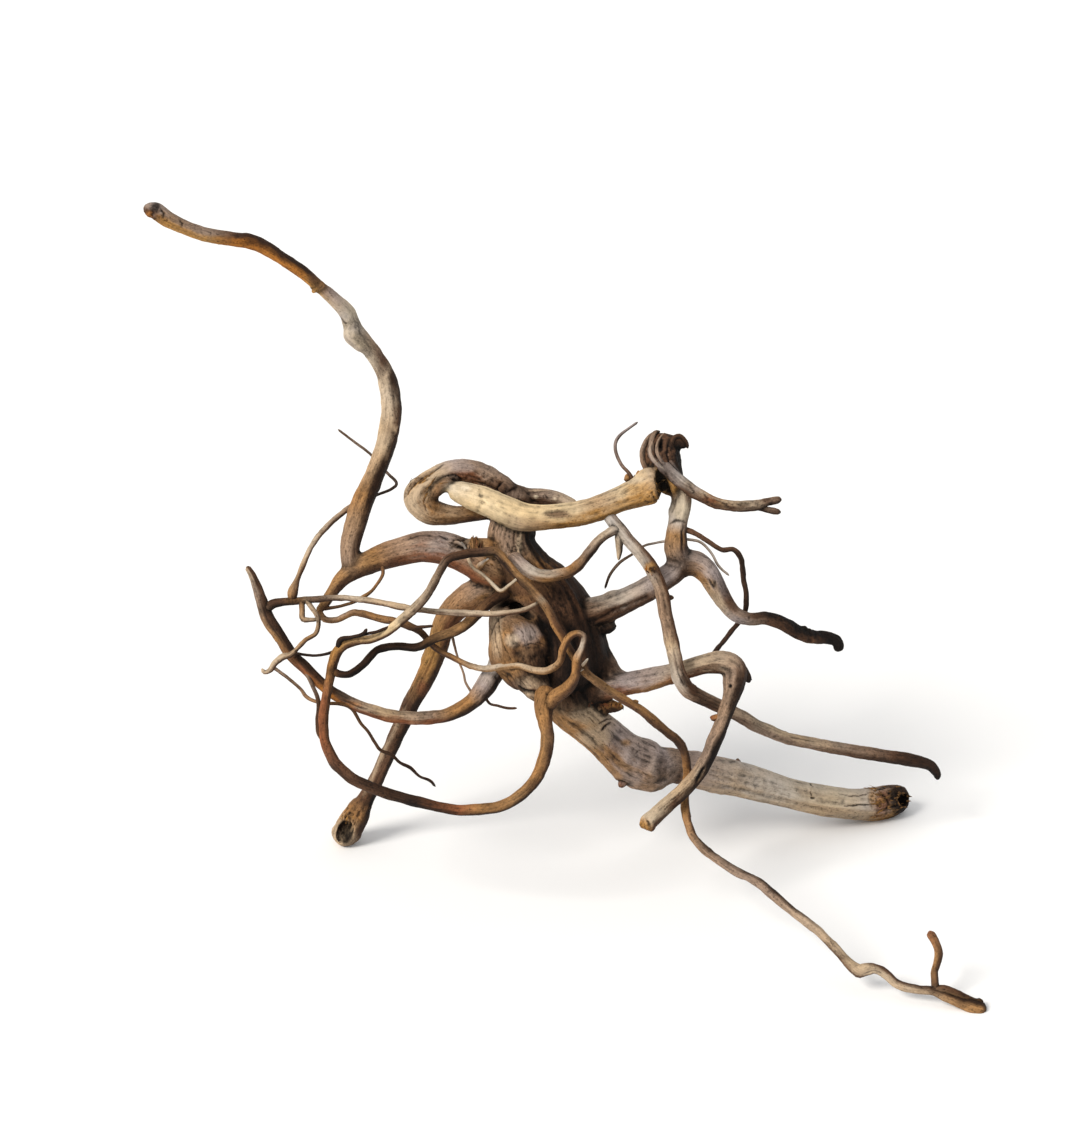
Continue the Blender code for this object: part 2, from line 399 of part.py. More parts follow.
def curve_to_mesh(name, guide, collection):
    """The curve's surface as a mesh object in the same place, with its end caps welded on."""
    evaluated = guide.evaluated_get(bpy.context.evaluated_depsgraph_get())
    mesh = bpy.data.meshes.new_from_object(evaluated)
    weld = bmesh.new()
    weld.from_mesh(mesh)
    bmesh.ops.remove_doubles(weld, verts=weld.verts, dist=CAP_WELD)
    bmesh.ops.recalc_face_normals(weld, faces=weld.faces)
    weld.to_mesh(mesh)
    weld.free()
    tube = bpy.data.objects.new(name, mesh)
    tube.matrix_world = guide.matrix_world
    collection.objects.link(tube)
    bpy.data.objects.remove(guide)
    return tube


def hollow_cutter(name, middle, halves, tilt, collection):
    """An egg-shaped cutter for a rotted hollow."""
    egg = bmesh.new()
    bmesh.ops.create_uvsphere(egg, u_segments=HOLLOW_SEGMENTS, v_segments=HOLLOW_RINGS, radius=1.0)
    mesh = bpy.data.meshes.new(name)
    egg.to_mesh(mesh)
    egg.free()
    cutter = bpy.data.objects.new(name, mesh)
    cutter.location = sheet_to_world(*middle)
    cutter.rotation_euler = (math.radians(tilt[0]), math.radians(tilt[1]), 0.0)
    cutter.scale = [half * MM for half in halves]
    cutter.hide_render = True
    cutter.display_type = "WIRE"
    collection.objects.link(cutter)
    return cutter


def floor_cutter(collection):
    """A slab whose top is the ground, which grinds a small flat on each end that carries the root."""
    slab = bmesh.new()
    bmesh.ops.create_cube(slab, size=1.0)
    mesh = bpy.data.meshes.new("ground")
    slab.to_mesh(mesh)
    slab.free()
    cutter = bpy.data.objects.new("ground", mesh)
    cutter.scale = (GROUND_WIDTH, GROUND_WIDTH, GROUND_DEPTH)
    cutter.location = (0.0, 0.0, -0.5 * GROUND_DEPTH)
    cutter.hide_render = True
    cutter.display_type = "WIRE"
    collection.objects.link(cutter)
    return cutter


def finished_mesh(thing):
    """The object's mesh with its modifiers applied, which the object then keeps."""
    evaluated = thing.evaluated_get(bpy.context.evaluated_depsgraph_get())
    mesh = bpy.data.meshes.new_from_object(evaluated)
    thing.modifiers.clear()
    thing.data = mesh
    return thing


def join_collection(thing, others, operation):
    """Joins a collection's meshes to the object, or cuts them from it, and removes them."""
    before = len(thing.data.vertices)
    boolean = thing.modifiers.new(operation.lower(), "BOOLEAN")
    boolean.operation = operation
    boolean.solver = "MANIFOLD"
    boolean.operand_type = "COLLECTION"
    boolean.collection = others
    finished_mesh(thing)
    if len(thing.data.vertices) == before:
        raise RuntimeError(f"The {operation.lower()} with {others.name} changed nothing")
    for other in list(others.objects):
        bpy.data.objects.remove(other)


def fuse_stout_wood(parts, hollows):
    """The stout tubes as one skin with rounded creases, thinned to few faces and cut by the hollows."""
    fused = bmesh.new()
    for tube in list(parts.objects):
        fused.from_mesh(tube.data)
        bpy.data.objects.remove(tube)
    mesh = bpy.data.meshes.new(NAME)
    fused.to_mesh(mesh)
    fused.free()
    stump = bpy.data.objects.new(NAME, mesh)
    parts.objects.link(stump)
    remesh = stump.modifiers.new("fuse", "REMESH")
    remesh.mode = "VOXEL"
    remesh.voxel_size = FUSE_CELL
    smooth = stump.modifiers.new("round_creases", "SMOOTH")
    smooth.factor = CREASE_ROUNDING
    smooth.iterations = CREASE_PASSES
    finished_mesh(stump)
    thin_out = stump.modifiers.new("thin_out", "DECIMATE")
    thin_out.ratio = STOUT_FACES / (2 * len(stump.data.polygons))
    finished_mesh(stump)
    join_collection(stump, hollows, "DIFFERENCE")
    return stump


def wood_material():
    wood = bpy.data.materials.new("weathered_wood")
    wood.use_nodes = True
    shader = wood.node_tree.nodes["Principled BSDF"]
    shader.inputs["Base Color"].default_value = WOOD_COLOUR
    shader.inputs["Roughness"].default_value = WOOD_ROUGHNESS
    shader.inputs["Metallic"].default_value = 0.0
    wood.diffuse_color = WOOD_COLOUR
    return wood


def main():
    clear_scene()
    root = bpy.data.collections.new(NAME)
    growths = bpy.data.collections.new("growths")
    cutters = bpy.data.collections.new("cutters")
    for collection in (root, growths, cutters):
        bpy.context.scene.collection.children.link(collection)

    for name, route in STOUT_ROUTES.items():
        root_tube(name, route, root, SMOOTHING_LOSS)
    for name, (middle, halves, tilt) in HOLLOWS.items():
        hollow_cutter(name, middle, halves, tilt, cutters)
    stump = fuse_stout_wood(root, cutters)

    for name, route in {**THIN_ROUTES, **HAIR_ROUTES}.items():
        root_tube(name, route, growths)
    join_collection(stump, growths, "UNION")
    floor_cutter(cutters)
    join_collection(stump, cutters, "DIFFERENCE")
    stump.data.materials.clear()
    stump.data.materials.append(wood_material())
    for collection in (growths, cutters):
        bpy.data.collections.remove(collection)


main()
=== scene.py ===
"""Bogwood root: the look of the weathered root crown of a small tree, and the stage that it is shown on.

Every root is a ring of points carried along a smooth line. The stout roots are fused into one skin with
soft creases, and the thin roots and hair roots grow out of it as finer tubes. Then the skin gets its
cracks, wrinkles and knots, and each place on it the colours of the root that it belongs to.

The routes are drawn on an upright sheet at full size, as in the part's own source. A point on it is
written as (across, down, out, thick): millimetres from the sheet's left edge, from its top edge, out of
the sheet towards the eye, and the root's thickness there.
"""

import json
import math
from typing import NamedTuple

import bpy
import numpy as np
from bpy.props import FloatProperty, FloatVectorProperty, IntProperty, PointerProperty
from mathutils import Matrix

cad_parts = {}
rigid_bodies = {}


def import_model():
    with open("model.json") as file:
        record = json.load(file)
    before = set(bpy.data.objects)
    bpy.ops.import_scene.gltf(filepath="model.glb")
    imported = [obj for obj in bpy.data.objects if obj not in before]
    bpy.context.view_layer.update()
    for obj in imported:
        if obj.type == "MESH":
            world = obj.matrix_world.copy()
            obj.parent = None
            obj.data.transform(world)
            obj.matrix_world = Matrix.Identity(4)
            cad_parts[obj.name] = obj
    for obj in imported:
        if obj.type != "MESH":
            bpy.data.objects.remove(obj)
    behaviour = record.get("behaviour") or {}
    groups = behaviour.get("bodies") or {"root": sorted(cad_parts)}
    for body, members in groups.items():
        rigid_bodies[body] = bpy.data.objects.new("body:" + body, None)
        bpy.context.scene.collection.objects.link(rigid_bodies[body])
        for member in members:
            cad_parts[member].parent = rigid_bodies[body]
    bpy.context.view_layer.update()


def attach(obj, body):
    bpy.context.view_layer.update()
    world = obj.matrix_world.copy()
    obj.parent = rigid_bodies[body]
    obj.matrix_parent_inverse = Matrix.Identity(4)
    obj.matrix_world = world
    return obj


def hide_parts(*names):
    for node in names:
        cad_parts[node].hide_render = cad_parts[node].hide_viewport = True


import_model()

bl_info = {
    "name": "Bogwood root",
    "version": (1, 0, 0),
    "blender": (4, 5, 0),
    "location": "View3D > Sidebar > Bogwood",
    "description": "Builds a weathered bogwood root with its torn wood, fine roots and stage",
    "category": "Object",
}

NODE = "bogwood_root"
BODY = "root"
MM = 0.001

# The drawing sheet: its middle, the height angle that it is seen from and the eye's distance, in mm
SHEET_MIDDLE = (270.0, 282.5)
VIEW_HEIGHT = math.radians(25.0)
EYE_DISTANCE = 1568.0

# Where the sheet's middle lies over the root's own origin, in mm: right, back and up
SHEET_PLACE = (-9.9, 54.7, 157.0)

# The sheet's own directions in the world: to the right, up the sheet, and out of it towards the eye
SHEET_RIGHT = np.array([1.0, 0.0, 0.0])
SHEET_UP = np.array([0.0, math.sin(VIEW_HEIGHT), math.cos(VIEW_HEIGHT)])
SHEET_OUT = np.array([0.0, -math.cos(VIEW_HEIGHT), math.sin(VIEW_HEIGHT)])

# The stage: how far the floor reaches each way, in m, where the soft light comes from, and its colour
FLOOR_REACH = 6.0
KEY_WAY = (-0.8, -0.55, 0.85)
KEY_TINT = (1.0, 0.96, 0.90)

# The way that the wood's darker far side faces, in X, Y and Z: away from the key light, with painted shade
FAR_SIDE = (0.8, -0.1, -0.6)

# The thinnest hair's half thickness, and the cuts between two points of a route and of a stroke
THINNEST_HALF = 0.45 * MM
CUTS_IN_STRETCH = 14
CUTS_IN_STROKE = 6

# The large numbers that the noise mixes a cell's three parts and its seed with
MIXING_NUMBERS = (73856093, 19349663, 83492791, 2654435)


def table(text):
    """The rows of each root by its name, from lines like 'root: row, row' that may go on in lines set in.

    A row's parts stand side by side. Each is a number, or else the name of a colour.
    """
    rows = {}
    for line in text.strip().replace("\n  ", " ").splitlines():
        root, _, cells = line.partition(": ")
        rows[root] = [tuple(part if part.isidentifier() else float(part) for part in row.split())
                      for row in cells.split(",")]
    return rows


# Stout wood: the stump with its lobes, the trunk, the leg and the thick arms. Each root's route is its
# points, as (across, down, out, thick)
STOUT_ROUTES = table("""
neck_and_crown: 257.5 252 -2 17, 255.4 264 -2 22, 256 274 -1 24, 261.2 286.4 -2 30.5, 270 300 -4 40,
  276.8 318 -6 43, 282 336 -7 40, 285 347 -8 28
mound: 253.8 309 8 20.5, 258 317.5 11 30, 260.3 327 12 33, 264.5 337 12 27
chin: 260 336.5 14 13, 267.5 344 18 11, 273.5 350 23 9.5
right_flank: 274 296 -8 32, 282.5 314 -9 36, 289.8 331 -9 33.5, 296 344 -9 22
arm_shoulder: 294 326 -8 16, 300 333 -7 17, 307 339 -5 11.5, 315 341.5 -2 9
trunk: 279 343 -6 27, 286 354.2 -8 23, 294.3 361.8 -11 20.6, 302.3 368.7 -15 20.8, 312.5 378 -21 23.2,
  321 382.6 -26 25, 328 384 -31 21.2, 336 383.4 -36 16.8, 345 384.7 -41 17, 355 387.2 -46 17.8,
  370 390.5 -53 17.4, 386 394.7 -60 15.8, 400 398.3 -65 15.2, 415 401 -70.5 15.4, 429 402.1 -76.5 16,
  439 401.7 -83.2 17.6, 446.8 400 -87 16, 453.4 400.6 -90 10.5
trunk_stub: 317 386 -22 8, 311.5 391.5 -19 5, 309.3 393.6 -18 2.6
leg: 254 297 0 18, 242 296 -2 16, 231 301.5 -4 13.5, 223 311 -6 11.6, 218.2 325.2 -11 10.2,
  212.1 339.8 -20 9.6, 206 350.9 -27 8.8, 200.8 362.3 -33 8.1, 194 377.2 -41 7.6, 187.9 390.6 -48 7.6,
  183.3 399 -52.5 8.6, 178.6 406.8 -55 12.6, 173.8 415 -57.5 13.8, 170.2 422.2 -59.2 10.2
left_arm: 258 292 0 20, 243 284 1 19.4, 230 277 3 17, 216 273.6 4 15.8, 201 276 4 13.8, 188 280.3 5 12.2,
  178 284.5 7 10.8, 170.8 290 9 7.6, 166 296.5 10.5 5.6, 162.5 302 12 4.8, 158.8 306.2 13 3.4
rising_root: 176 285 7 10, 175.2 274 7 10, 178.5 260 5 10.7, 182.2 249 2 10.5, 187 238 -2 10.1,
  192 225 -7 10.1, 195.2 211 -11 10.7, 195.3 200 -13 10.5, 193.4 190 -13 9.6, 189.5 181.5 -11 8.4,
  183.7 173.5 -7 8.6, 177 165.5 -2 9.2, 173.3 156.5 3 8.2, 166 149 9 6.7, 158 142 14 6.4, 150 135.4 18 6.6,
  139.5 128.3 23 6.6, 127.5 121.6 28 7.5, 115.5 119.6 33 7.1, 104 117.9 37 7.4, 94 114.6 40 7.2,
  84.5 110.2 44 7.6, 77 105.3 47 7.8, 72.6 106.8 49 5.2
rising_root_stub: 160.5 142.5 14 6, 156 146.6 15 2.6
right_arm: 274 314 -4 22, 286 309.5 -4 18.5, 298 306.3 -2 15.2, 310 301.6 -1 12.9, 320 297 0 12,
  329 291.8 0 11.8, 337 286 0 12, 342 280 0 12
riser_to_knot: 341 244 6 10.8, 340.8 252 5 10.6, 339.3 260 3 9.8, 338.4 267 2 10.6, 338.4 275 1 12,
  341 282 0 13
hook_root: 339 281.7 0 13, 347.6 281.9 0 12.4, 353.6 286.4 -1 11.2, 357.9 293.3 -3 9.8, 362.1 300.9 -5 8.8,
  367.6 307.3 -7 7.4, 375.3 309.8 -10 6.4, 383 309.4 -14 7, 391 311.9 -18 7.2, 397.5 315.7 -22 7.2,
  405 318.4 -26 6.8, 413 319 -31 6.2, 418.4 321.2 -34 5.8, 419.4 326 -36 4.8
middle_arm: 288 346 -6 14, 300 344.8 -4 12.2, 312 342.5 -1 11.4, 326 339.6 2 11, 340 336.2 3.5 10.2,
  352 332.5 5 10.2, 361.7 331.5 6 11.4, 367.1 334.7 6.5 12.6, 367 342 7 11.4, 365 350 8.5 8.4,
  361.6 360 11 7.4, 357.8 370 13 7.8, 353.3 380.2 16 7.4, 347.6 389.4 18.5 7.4, 340.4 396.9 21 7.8,
  331.5 404.7 24 7.8, 325.4 410.4 28 9, 321.9 413.8 29.5 9.6
corner_spike: 369.5 333 3 6.4, 373 337.6 1 5, 374.8 341.6 0 2.8
loop: 258 253 -4 13, 252.5 245 -3 11.6, 245 240 -3 11.6, 236.5 236.2 -3 11.2, 227.5 235.8 -2 11.6,
  219.5 238.8 -1 12, 212.4 244.2 0 14.6, 210 249.6 0 17, 215.2 256.4 -1 13.4, 226 258.1 -3 9.4,
  235 257.3 -5 8.4, 244 256.2 -6 7.6, 252 254.5 -6 8
loop_tail: 256 247 -4 11, 264 248.6 -3 9, 273 248.8 -2 8.5, 280.5 250.2 0 7, 288 252.8 4 4.4
pale_root: 224.6 244.6 3 7.5, 229.8 246.2 4 11, 236 248.4 6 13, 243 250.8 8 13.8, 252 254.8 10 14,
  261 258.3 11 13.8, 270 259 12 12.2, 280 258.3 12 11.9, 290 256.8 12 12.4, 300 253.9 12 12.8,
  310 250 12 13, 319 246.6 12 15.4, 325.5 243.4 12 19, 330.5 242.8 12 19
knot: 338.5 247 5 11, 334.3 239 6 16.4, 331 230 6 20.4, 329.9 223 6 18, 327.6 217.4 6 9
knot_beak: 333.5 223.5 8 11, 339 221.4 9 7.2, 343.4 224 10 2.8
torn_ridge: 247 275 5 10, 238 273 6 8, 232 273.2 7 5.4, 226.8 273.2 9 2
black_knob: 298 310 -4 9, 303.4 313.8 -4 9, 305 316.8 -4 6.4
splintered_wood: 290 350 -10 11, 300 352.3 -8 9.4, 307.5 353.6 -6 6.2, 312 353.6 -5 2.4
neck_stub: 266 291.5 2 9, 270.5 285.5 2 8, 272.6 281.8 2 5.4
""")

# Thin roots: each grows out of a stouter one or joins two of them
THIN_ROUTES = table("""
left_low_root: 255 328.5 4 13, 247.6 336 9 10.6, 242 344.6 12 9.4, 235 351.6 14 7.8, 226 356.7 16 6.8,
  215 358.8 17 6.4, 202 358.9 18 6, 189.5 356.6 19 6.2, 176.5 352 20 6, 166.8 347 20 6, 160.5 342.2 20 6,
  152.4 334.2 19 6.1, 145.4 327.2 18 6.2, 140 318.7 17 6.2, 134.8 311.2 16 6.6, 131.9 304 16 5.8,
  129 295.2 18 4.6, 126.6 288.8 21 3.8, 123.7 283.6 24 2.8
left_cross_root: 132.8 305 16 5, 138 301.6 18 4.3, 145 300.9 19 3.7, 155 300 20 3.4, 167 299.2 20 3.1,
  176 299.5 21 2.9, 187.5 301 22.5 3, 196.5 303 24 3.2, 212 305.4 27 2.9, 224.5 306.5 29 3,
  235.5 307 31 3.3, 247.5 307 33 3, 257.5 306 35 2.8, 263.5 304.8 37 2.6, 267.5 302.8 39 2.2,
  271 300.4 41 1.8
waved_root: 159.5 305.5 12.5 3.4, 162.5 310 13 3.2, 168 310.2 14 3, 173 308 16 3.2, 177.5 306.6 17 3.8,
  184 308 19 4, 190 309.5 20 4.2, 197.5 311 21 4, 205 313.5 19 4, 211 317 15 3.6, 216 323 11.5 3.2,
  221.5 326.5 12 3, 227.5 329.5 14 3, 235 333 17 3, 243 334.5 20 3, 252 333.5 24 3, 260 333.4 28 3,
  268 335.5 32 3.2, 275 335 37 3.4, 280.3 331 43 3.8, 281.6 325 47 3.9, 284.2 319.6 50 3.6,
  288.5 317 52 3.1, 291.9 318.4 52 2.8, 291.3 323.5 51 2.9, 288.6 330 48 3.9, 287.8 338 42 5,
  284 344.5 36 6.2, 277.5 349 31 7, 273.5 355 30 6.6
crossing_root: 166.2 335.8 31 4, 170 337.2 30 3.8, 175 337 28 3.7, 181.5 332.5 24 3.8, 188.5 325.5 21 4,
  197.5 323.4 20 4, 209 323.8 20 4, 218 319.2 20 4.6, 230.8 313.9 21 5.2, 238.6 307.4 20 5.4,
  246.6 300.6 17 5.4, 254 296.6 11 5
arch_root: 274.5 345 22 12, 271.8 352.8 28 10.4, 272.6 361 31 7.8, 273.8 369 33 6.8, 272.6 379.2 34 6.3,
  268.2 389.5 35 6, 260.2 398.2 36 5.7, 250.3 403.4 36 5.5, 240 405 36 5.5, 230 405.2 35 5.5,
  221 403.9 35 5.3, 207 400.5 34 5.5, 192.2 396.2 34 5.3, 181.8 392.4 34 5.5, 173.6 387.8 34 5.7,
  166.6 380.2 35 5.7, 162.7 370.8 34 5.2, 161.7 360 33 4.8, 163 350 32 4.6, 164.8 340 31 4.7,
  166.6 331 30 4.9, 170 324.6 30 5, 176.5 321.2 30 4.6, 186 319.6 30 4.2, 194.2 315.8 31 4.6,
  200.6 310.4 32 4.8, 207.9 303.9 33 4.6, 215 295 35 4.4, 219.8 286 35 4.3, 223.8 279.8 34 4.2,
  232 277.5 31 4.2, 241 276.6 28 4.3, 248.2 276.2 26 4.6, 253 281.2 29 4.6, 260 289.2 34 4.3,
  266.5 296.2 38 4.3, 272.5 303.2 41 4.3, 278 312.5 42 4.2, 283 321.5 42 4, 288 330.2 41 4,
  293.5 337.2 40 4.1, 303 344.2 38 4.3, 312.5 350.2 36 4.5, 320.5 355.5 34 4.4, 327.3 361.2 31 4.6,
  334 366.8 28 4.6, 339.4 371.2 24 4.3, 342.5 377.2 18 4.1, 343.6 385 11 4.1, 343.1 393 8.5 4.3,
  342.4 400.4 12 4.4, 342.8 407.6 18 4.4, 345.3 415.6 24 4.3, 350.8 423.4 31 4.4, 359.7 430.6 38 4.5,
  367.8 436 43 4.7, 374.8 439.3 47 4.4, 381.8 443.3 51 4.6, 388.8 449.8 55 4.8, 394.8 454.9 58 4.6,
  405.8 462.9 63 4.7, 416.4 473.2 67 4.5, 423.8 481.4 70 4.7, 429.3 485.8 72 5.8, 433.6 485 73 5.8,
  437.6 484.6 74 4.8, 442.8 487.4 75 4.5, 448.7 492.5 76 4.4, 457.5 494.9 77.5 4.4, 466.5 495.8 79 4.6,
  473 498.4 80 5.2, 480 501.2 80.5 6, 486.5 504 81 8, 492.6 505.6 81 8
tip_strand: 467 494.8 79 4, 473 495.2 80 4.4, 481.3 499 80 4.6, 487 501.5 80 4.6, 491.4 500.8 80 3.8
upright_twig: 467.6 495 79 4, 467.4 490 79 3.8, 467.3 485.5 78 3.6, 468.9 480 77 3.9, 469.1 476 76 4,
  467.7 471.3 74 3.8, 465.6 467.6 72 4, 464.9 465.8 71.5 3.2
bowed_root: 256 278 18 7, 260.5 283 23 7, 266 286.9 25.5 6.8, 272.5 288.4 26 6.4, 279.2 287.6 25 6,
  285.2 285.6 24 5.6, 290 281.8 22 5.2, 294 276.9 20 5, 298.1 271.6 18 4.9, 302.6 267.6 17 4.8,
  307 265.2 16 5, 311 264.8 15 4
falling_root: 303.6 257 12 6, 310.2 265.2 15 6.5, 315.2 271.2 15 6.4, 319.9 276.5 15 6.6,
  324.5 282.3 15 7.2, 328 289.2 15 6.8, 330.4 296 15 6.6, 332.4 305 15 6.5, 334.3 314 15 6.6,
  336 323 15 6.8, 337.9 331.6 16 7, 340.3 339.4 14.5 7.8, 344.2 345.2 11 7.8, 350.4 348.9 6 7.2,
  357.5 352.3 0.5 6.5, 370 358.4 -7 6.5, 380 363.6 -14 6.2, 390 368.2 -20 6.2, 400 370.9 -26 6,
  425 375.3 -38 6.2, 445 378.5 -48 6.2, 457 380.6 -53 6.2, 464.3 382.7 -57 5.6, 468.2 386.4 -59 4.4,
  468.9 389.8 -60 2.8
falling_root_stub: 333 298.8 14 3.4, 336.8 299.2 13 2
hanging_stub: 310.5 263.5 15 4.6, 309.8 270 15 4.4, 309.8 276 14 3, 309.3 280.3 14 1.4
forked_twig: 331 232 13 6, 336 237.2 14 6.2, 341.3 242 14 6.4, 348.2 246.6 12 6, 355.8 250.6 9 5.6,
  363 252.7 6 5.4, 371 253.5 2 5.6, 379 252.8 -1 5.4, 384 251.1 -3 4.1, 388 250.4 -4 4, 390.6 250.2 -5 3
forked_twig_tine: 377.5 253.5 -1 4, 383 254.8 -3 3.1, 387 255.6 -5 3.4, 390.2 256.3 -6 2.3
draped_twig: 341.2 264.4 2 3, 347.6 266.9 4 2.6, 353.6 270.7 5 2.6, 360.8 275 4 2.7, 366.9 275.2 2 2.7,
  370.6 279.8 -2 2.8, 371.9 290 -8 2.8, 373.3 299 -12 2.8, 372 307.5 -15 2.6, 368 313 -13.5 2.4,
  362 320.5 -7 2.4, 357 327 1 2.4, 355.5 331 4 2.2
corner_knob: 360.5 358.8 10 4, 356.8 359.2 11 3.4, 355 358.8 11.5 2
trunk_spike: 369 384 -52 5.6, 368.8 379.6 -52 1.8
arch_stub: 316 352.2 35 3.6, 319.2 350.8 35 2
torn_crown_left: 313.5 241 13 4, 313.3 237.2 14 1.6
torn_crown_right: 319 240 13 4, 319.3 235.6 13.5 1.6
left_small_twig: 177.5 252.5 -1 3, 172.5 255.8 1 2.8, 166 261 5 2.8, 160 267.3 9 2.7, 155 275 13 2.6,
  151.5 283 16 2.5, 148.5 290.5 18.5 2.8, 146.3 296 20 5.4, 146.2 300 19.5 4.4
crooked_twig: 152.5 299.5 20 2.8, 156 304.5 21 2.7, 159 309.3 22 2.5, 158.9 314 23 2.3, 157.6 317.4 24 2.5,
  153.2 319.8 25 2.3, 149 324 25 2.5, 145.3 327.5 25 3.2, 141 329 25 3.8, 137.6 331.6 25 3.4,
  135.2 335.2 24 2.7, 132.4 336.3 24 2.3, 131 334.6 24 1.9
crooked_twig_rung: 150.8 299.8 20 2.8, 151 305 20 2.8, 151.4 309.6 20.5 2.7, 155 310.2 21 2.2,
  159.2 309.8 22 2
torn_bits: 239 285 5 4.4, 241.5 282 20 2.8, 244.3 279.7 27 1.7
""")

# Hair roots and the finest twigs
HAIR_ROUTES = table("""
curled_hair: 317.2 241.4 12 2.4, 314.2 236.4 14.8 1.8, 310.9 233 15 1.7, 308.4 228 15 1.7,
  307.5 223 15 1.7, 309 218.9 14 1.7, 313.5 215.1 12 1.5, 318.8 211.3 10 1.4
right_hair: 342 269.6 1 1.5, 350 271.2 -1 1.4, 355.5 276.5 -3 1.3, 359.5 283.5 -4 1.3, 364.5 288 -6 1.1
middle_hair: 337 270.2 1 1.5, 329 271.5 2 1.3, 322 273.2 4 1.3, 316 277.5 6 1.4, 310 281.5 8 1.6,
  305 287.5 8 1.6, 302.5 294.5 6 1.2
crown_hair: 233 276.5 20 2.2, 236 283.5 24 1.8, 241.5 287.6 27 1.8, 246.5 292.5 31 1.8, 250.5 295.6 34 1.9,
  255 292.5 35 1.7, 259.8 289 34 1.6
white_torn_hair: 289.5 334.5 41 2.6, 292.2 332 42 1.8, 294 329.5 43 1.2
back_hair: 183.5 249.5 0 2, 190.5 247 -8 1.5, 195.3 245 -11 1.5, 198.3 241.8 -13 1.5, 193.5 236.5 -17 1.4,
  186 228 -20 1.4, 177.5 221.5 -20 1.4, 169 215 -18 1.2
under_arm_hair: 190.5 281.5 7 2, 191.4 287.5 11 1.7, 186.5 295 17 1.7, 181.5 298.8 20 2.2,
  176 301.6 18 1.7, 169 303.6 15 1.7, 161.5 304.8 12.5 1.9
trailing_hair: 136.6 334 24 2, 143 338.5 24 1.7, 150 344.5 23 1.7, 153 348.5 23 2, 157.5 350.8 24 1.9,
  163 351.8 27 1.9, 170 352.3 24 1.9, 176 354.8 20 1.8, 180.5 362 16 1.6, 184 366 14 1.6,
  187.5 371.5 12 1.7, 190.5 375.5 10 2, 195.5 377.5 8 1.9, 200 381.5 5 1.6, 205 384 2 1.9, 210 388.5 0 1.5,
  215 390.5 -3 1.6, 217.7 393.5 -5 1.2
braided_hair: 152.5 334.5 19.5 2.6, 156 342.5 23 2.1, 159.2 351 28 2.1, 158.8 361 31 2.2,
  159.6 367.5 33 2.2, 163.8 373 34 2.2
bridge_hair: 147 326.8 19 1.8, 156.5 328 24 1.4, 163 327.2 28 1.5, 168.5 325.4 30 1.6
dark_knob_hair: 169.2 325.5 30 3.2, 170.2 320.3 32 3, 176 318.9 33 2, 181.5 317.3 34 2.2,
  183.4 314.6 35 1.7
knob_link_hair: 181 317.6 33.5 1.6, 188 316.2 34 1.5, 195.5 313.6 32 1.5
waved_root_stub: 206 314 19 2, 212.5 313.6 19 1.8, 216.5 313.2 20 1.5
shadow_hair: 226 318 19.5 1.6, 228 326 15 1.3, 229.5 331 14.5 1.3, 231.8 337 14 1.3, 232.8 341.5 14 1.3,
  236.5 347.5 13 1.4
low_hair: 241.5 346.5 12 1.8, 244.5 351.8 12 1.4, 249 353.2 12 1.3, 254 354.4 11 1.4, 258.5 354.3 10 1.2
""")

# Hollows: (across, down, out) of the middle, half sizes in mm along X, Y and Z, and a tilt in degrees
# about X and Y
HOLLOWS = table("""
leg_end_hollow: 172.4 416.4 -51.3, 4.3 6.5 6.6, 12 28
pale_root_hollow: 332 243.5 15.5, 3.2 6 8, 0 -22
crown_scoop: 259 293 30, 15 9 8.5, 0 8
broken_end_hollow: 450 400 -82, 5 4.5 4, 0 0
""")
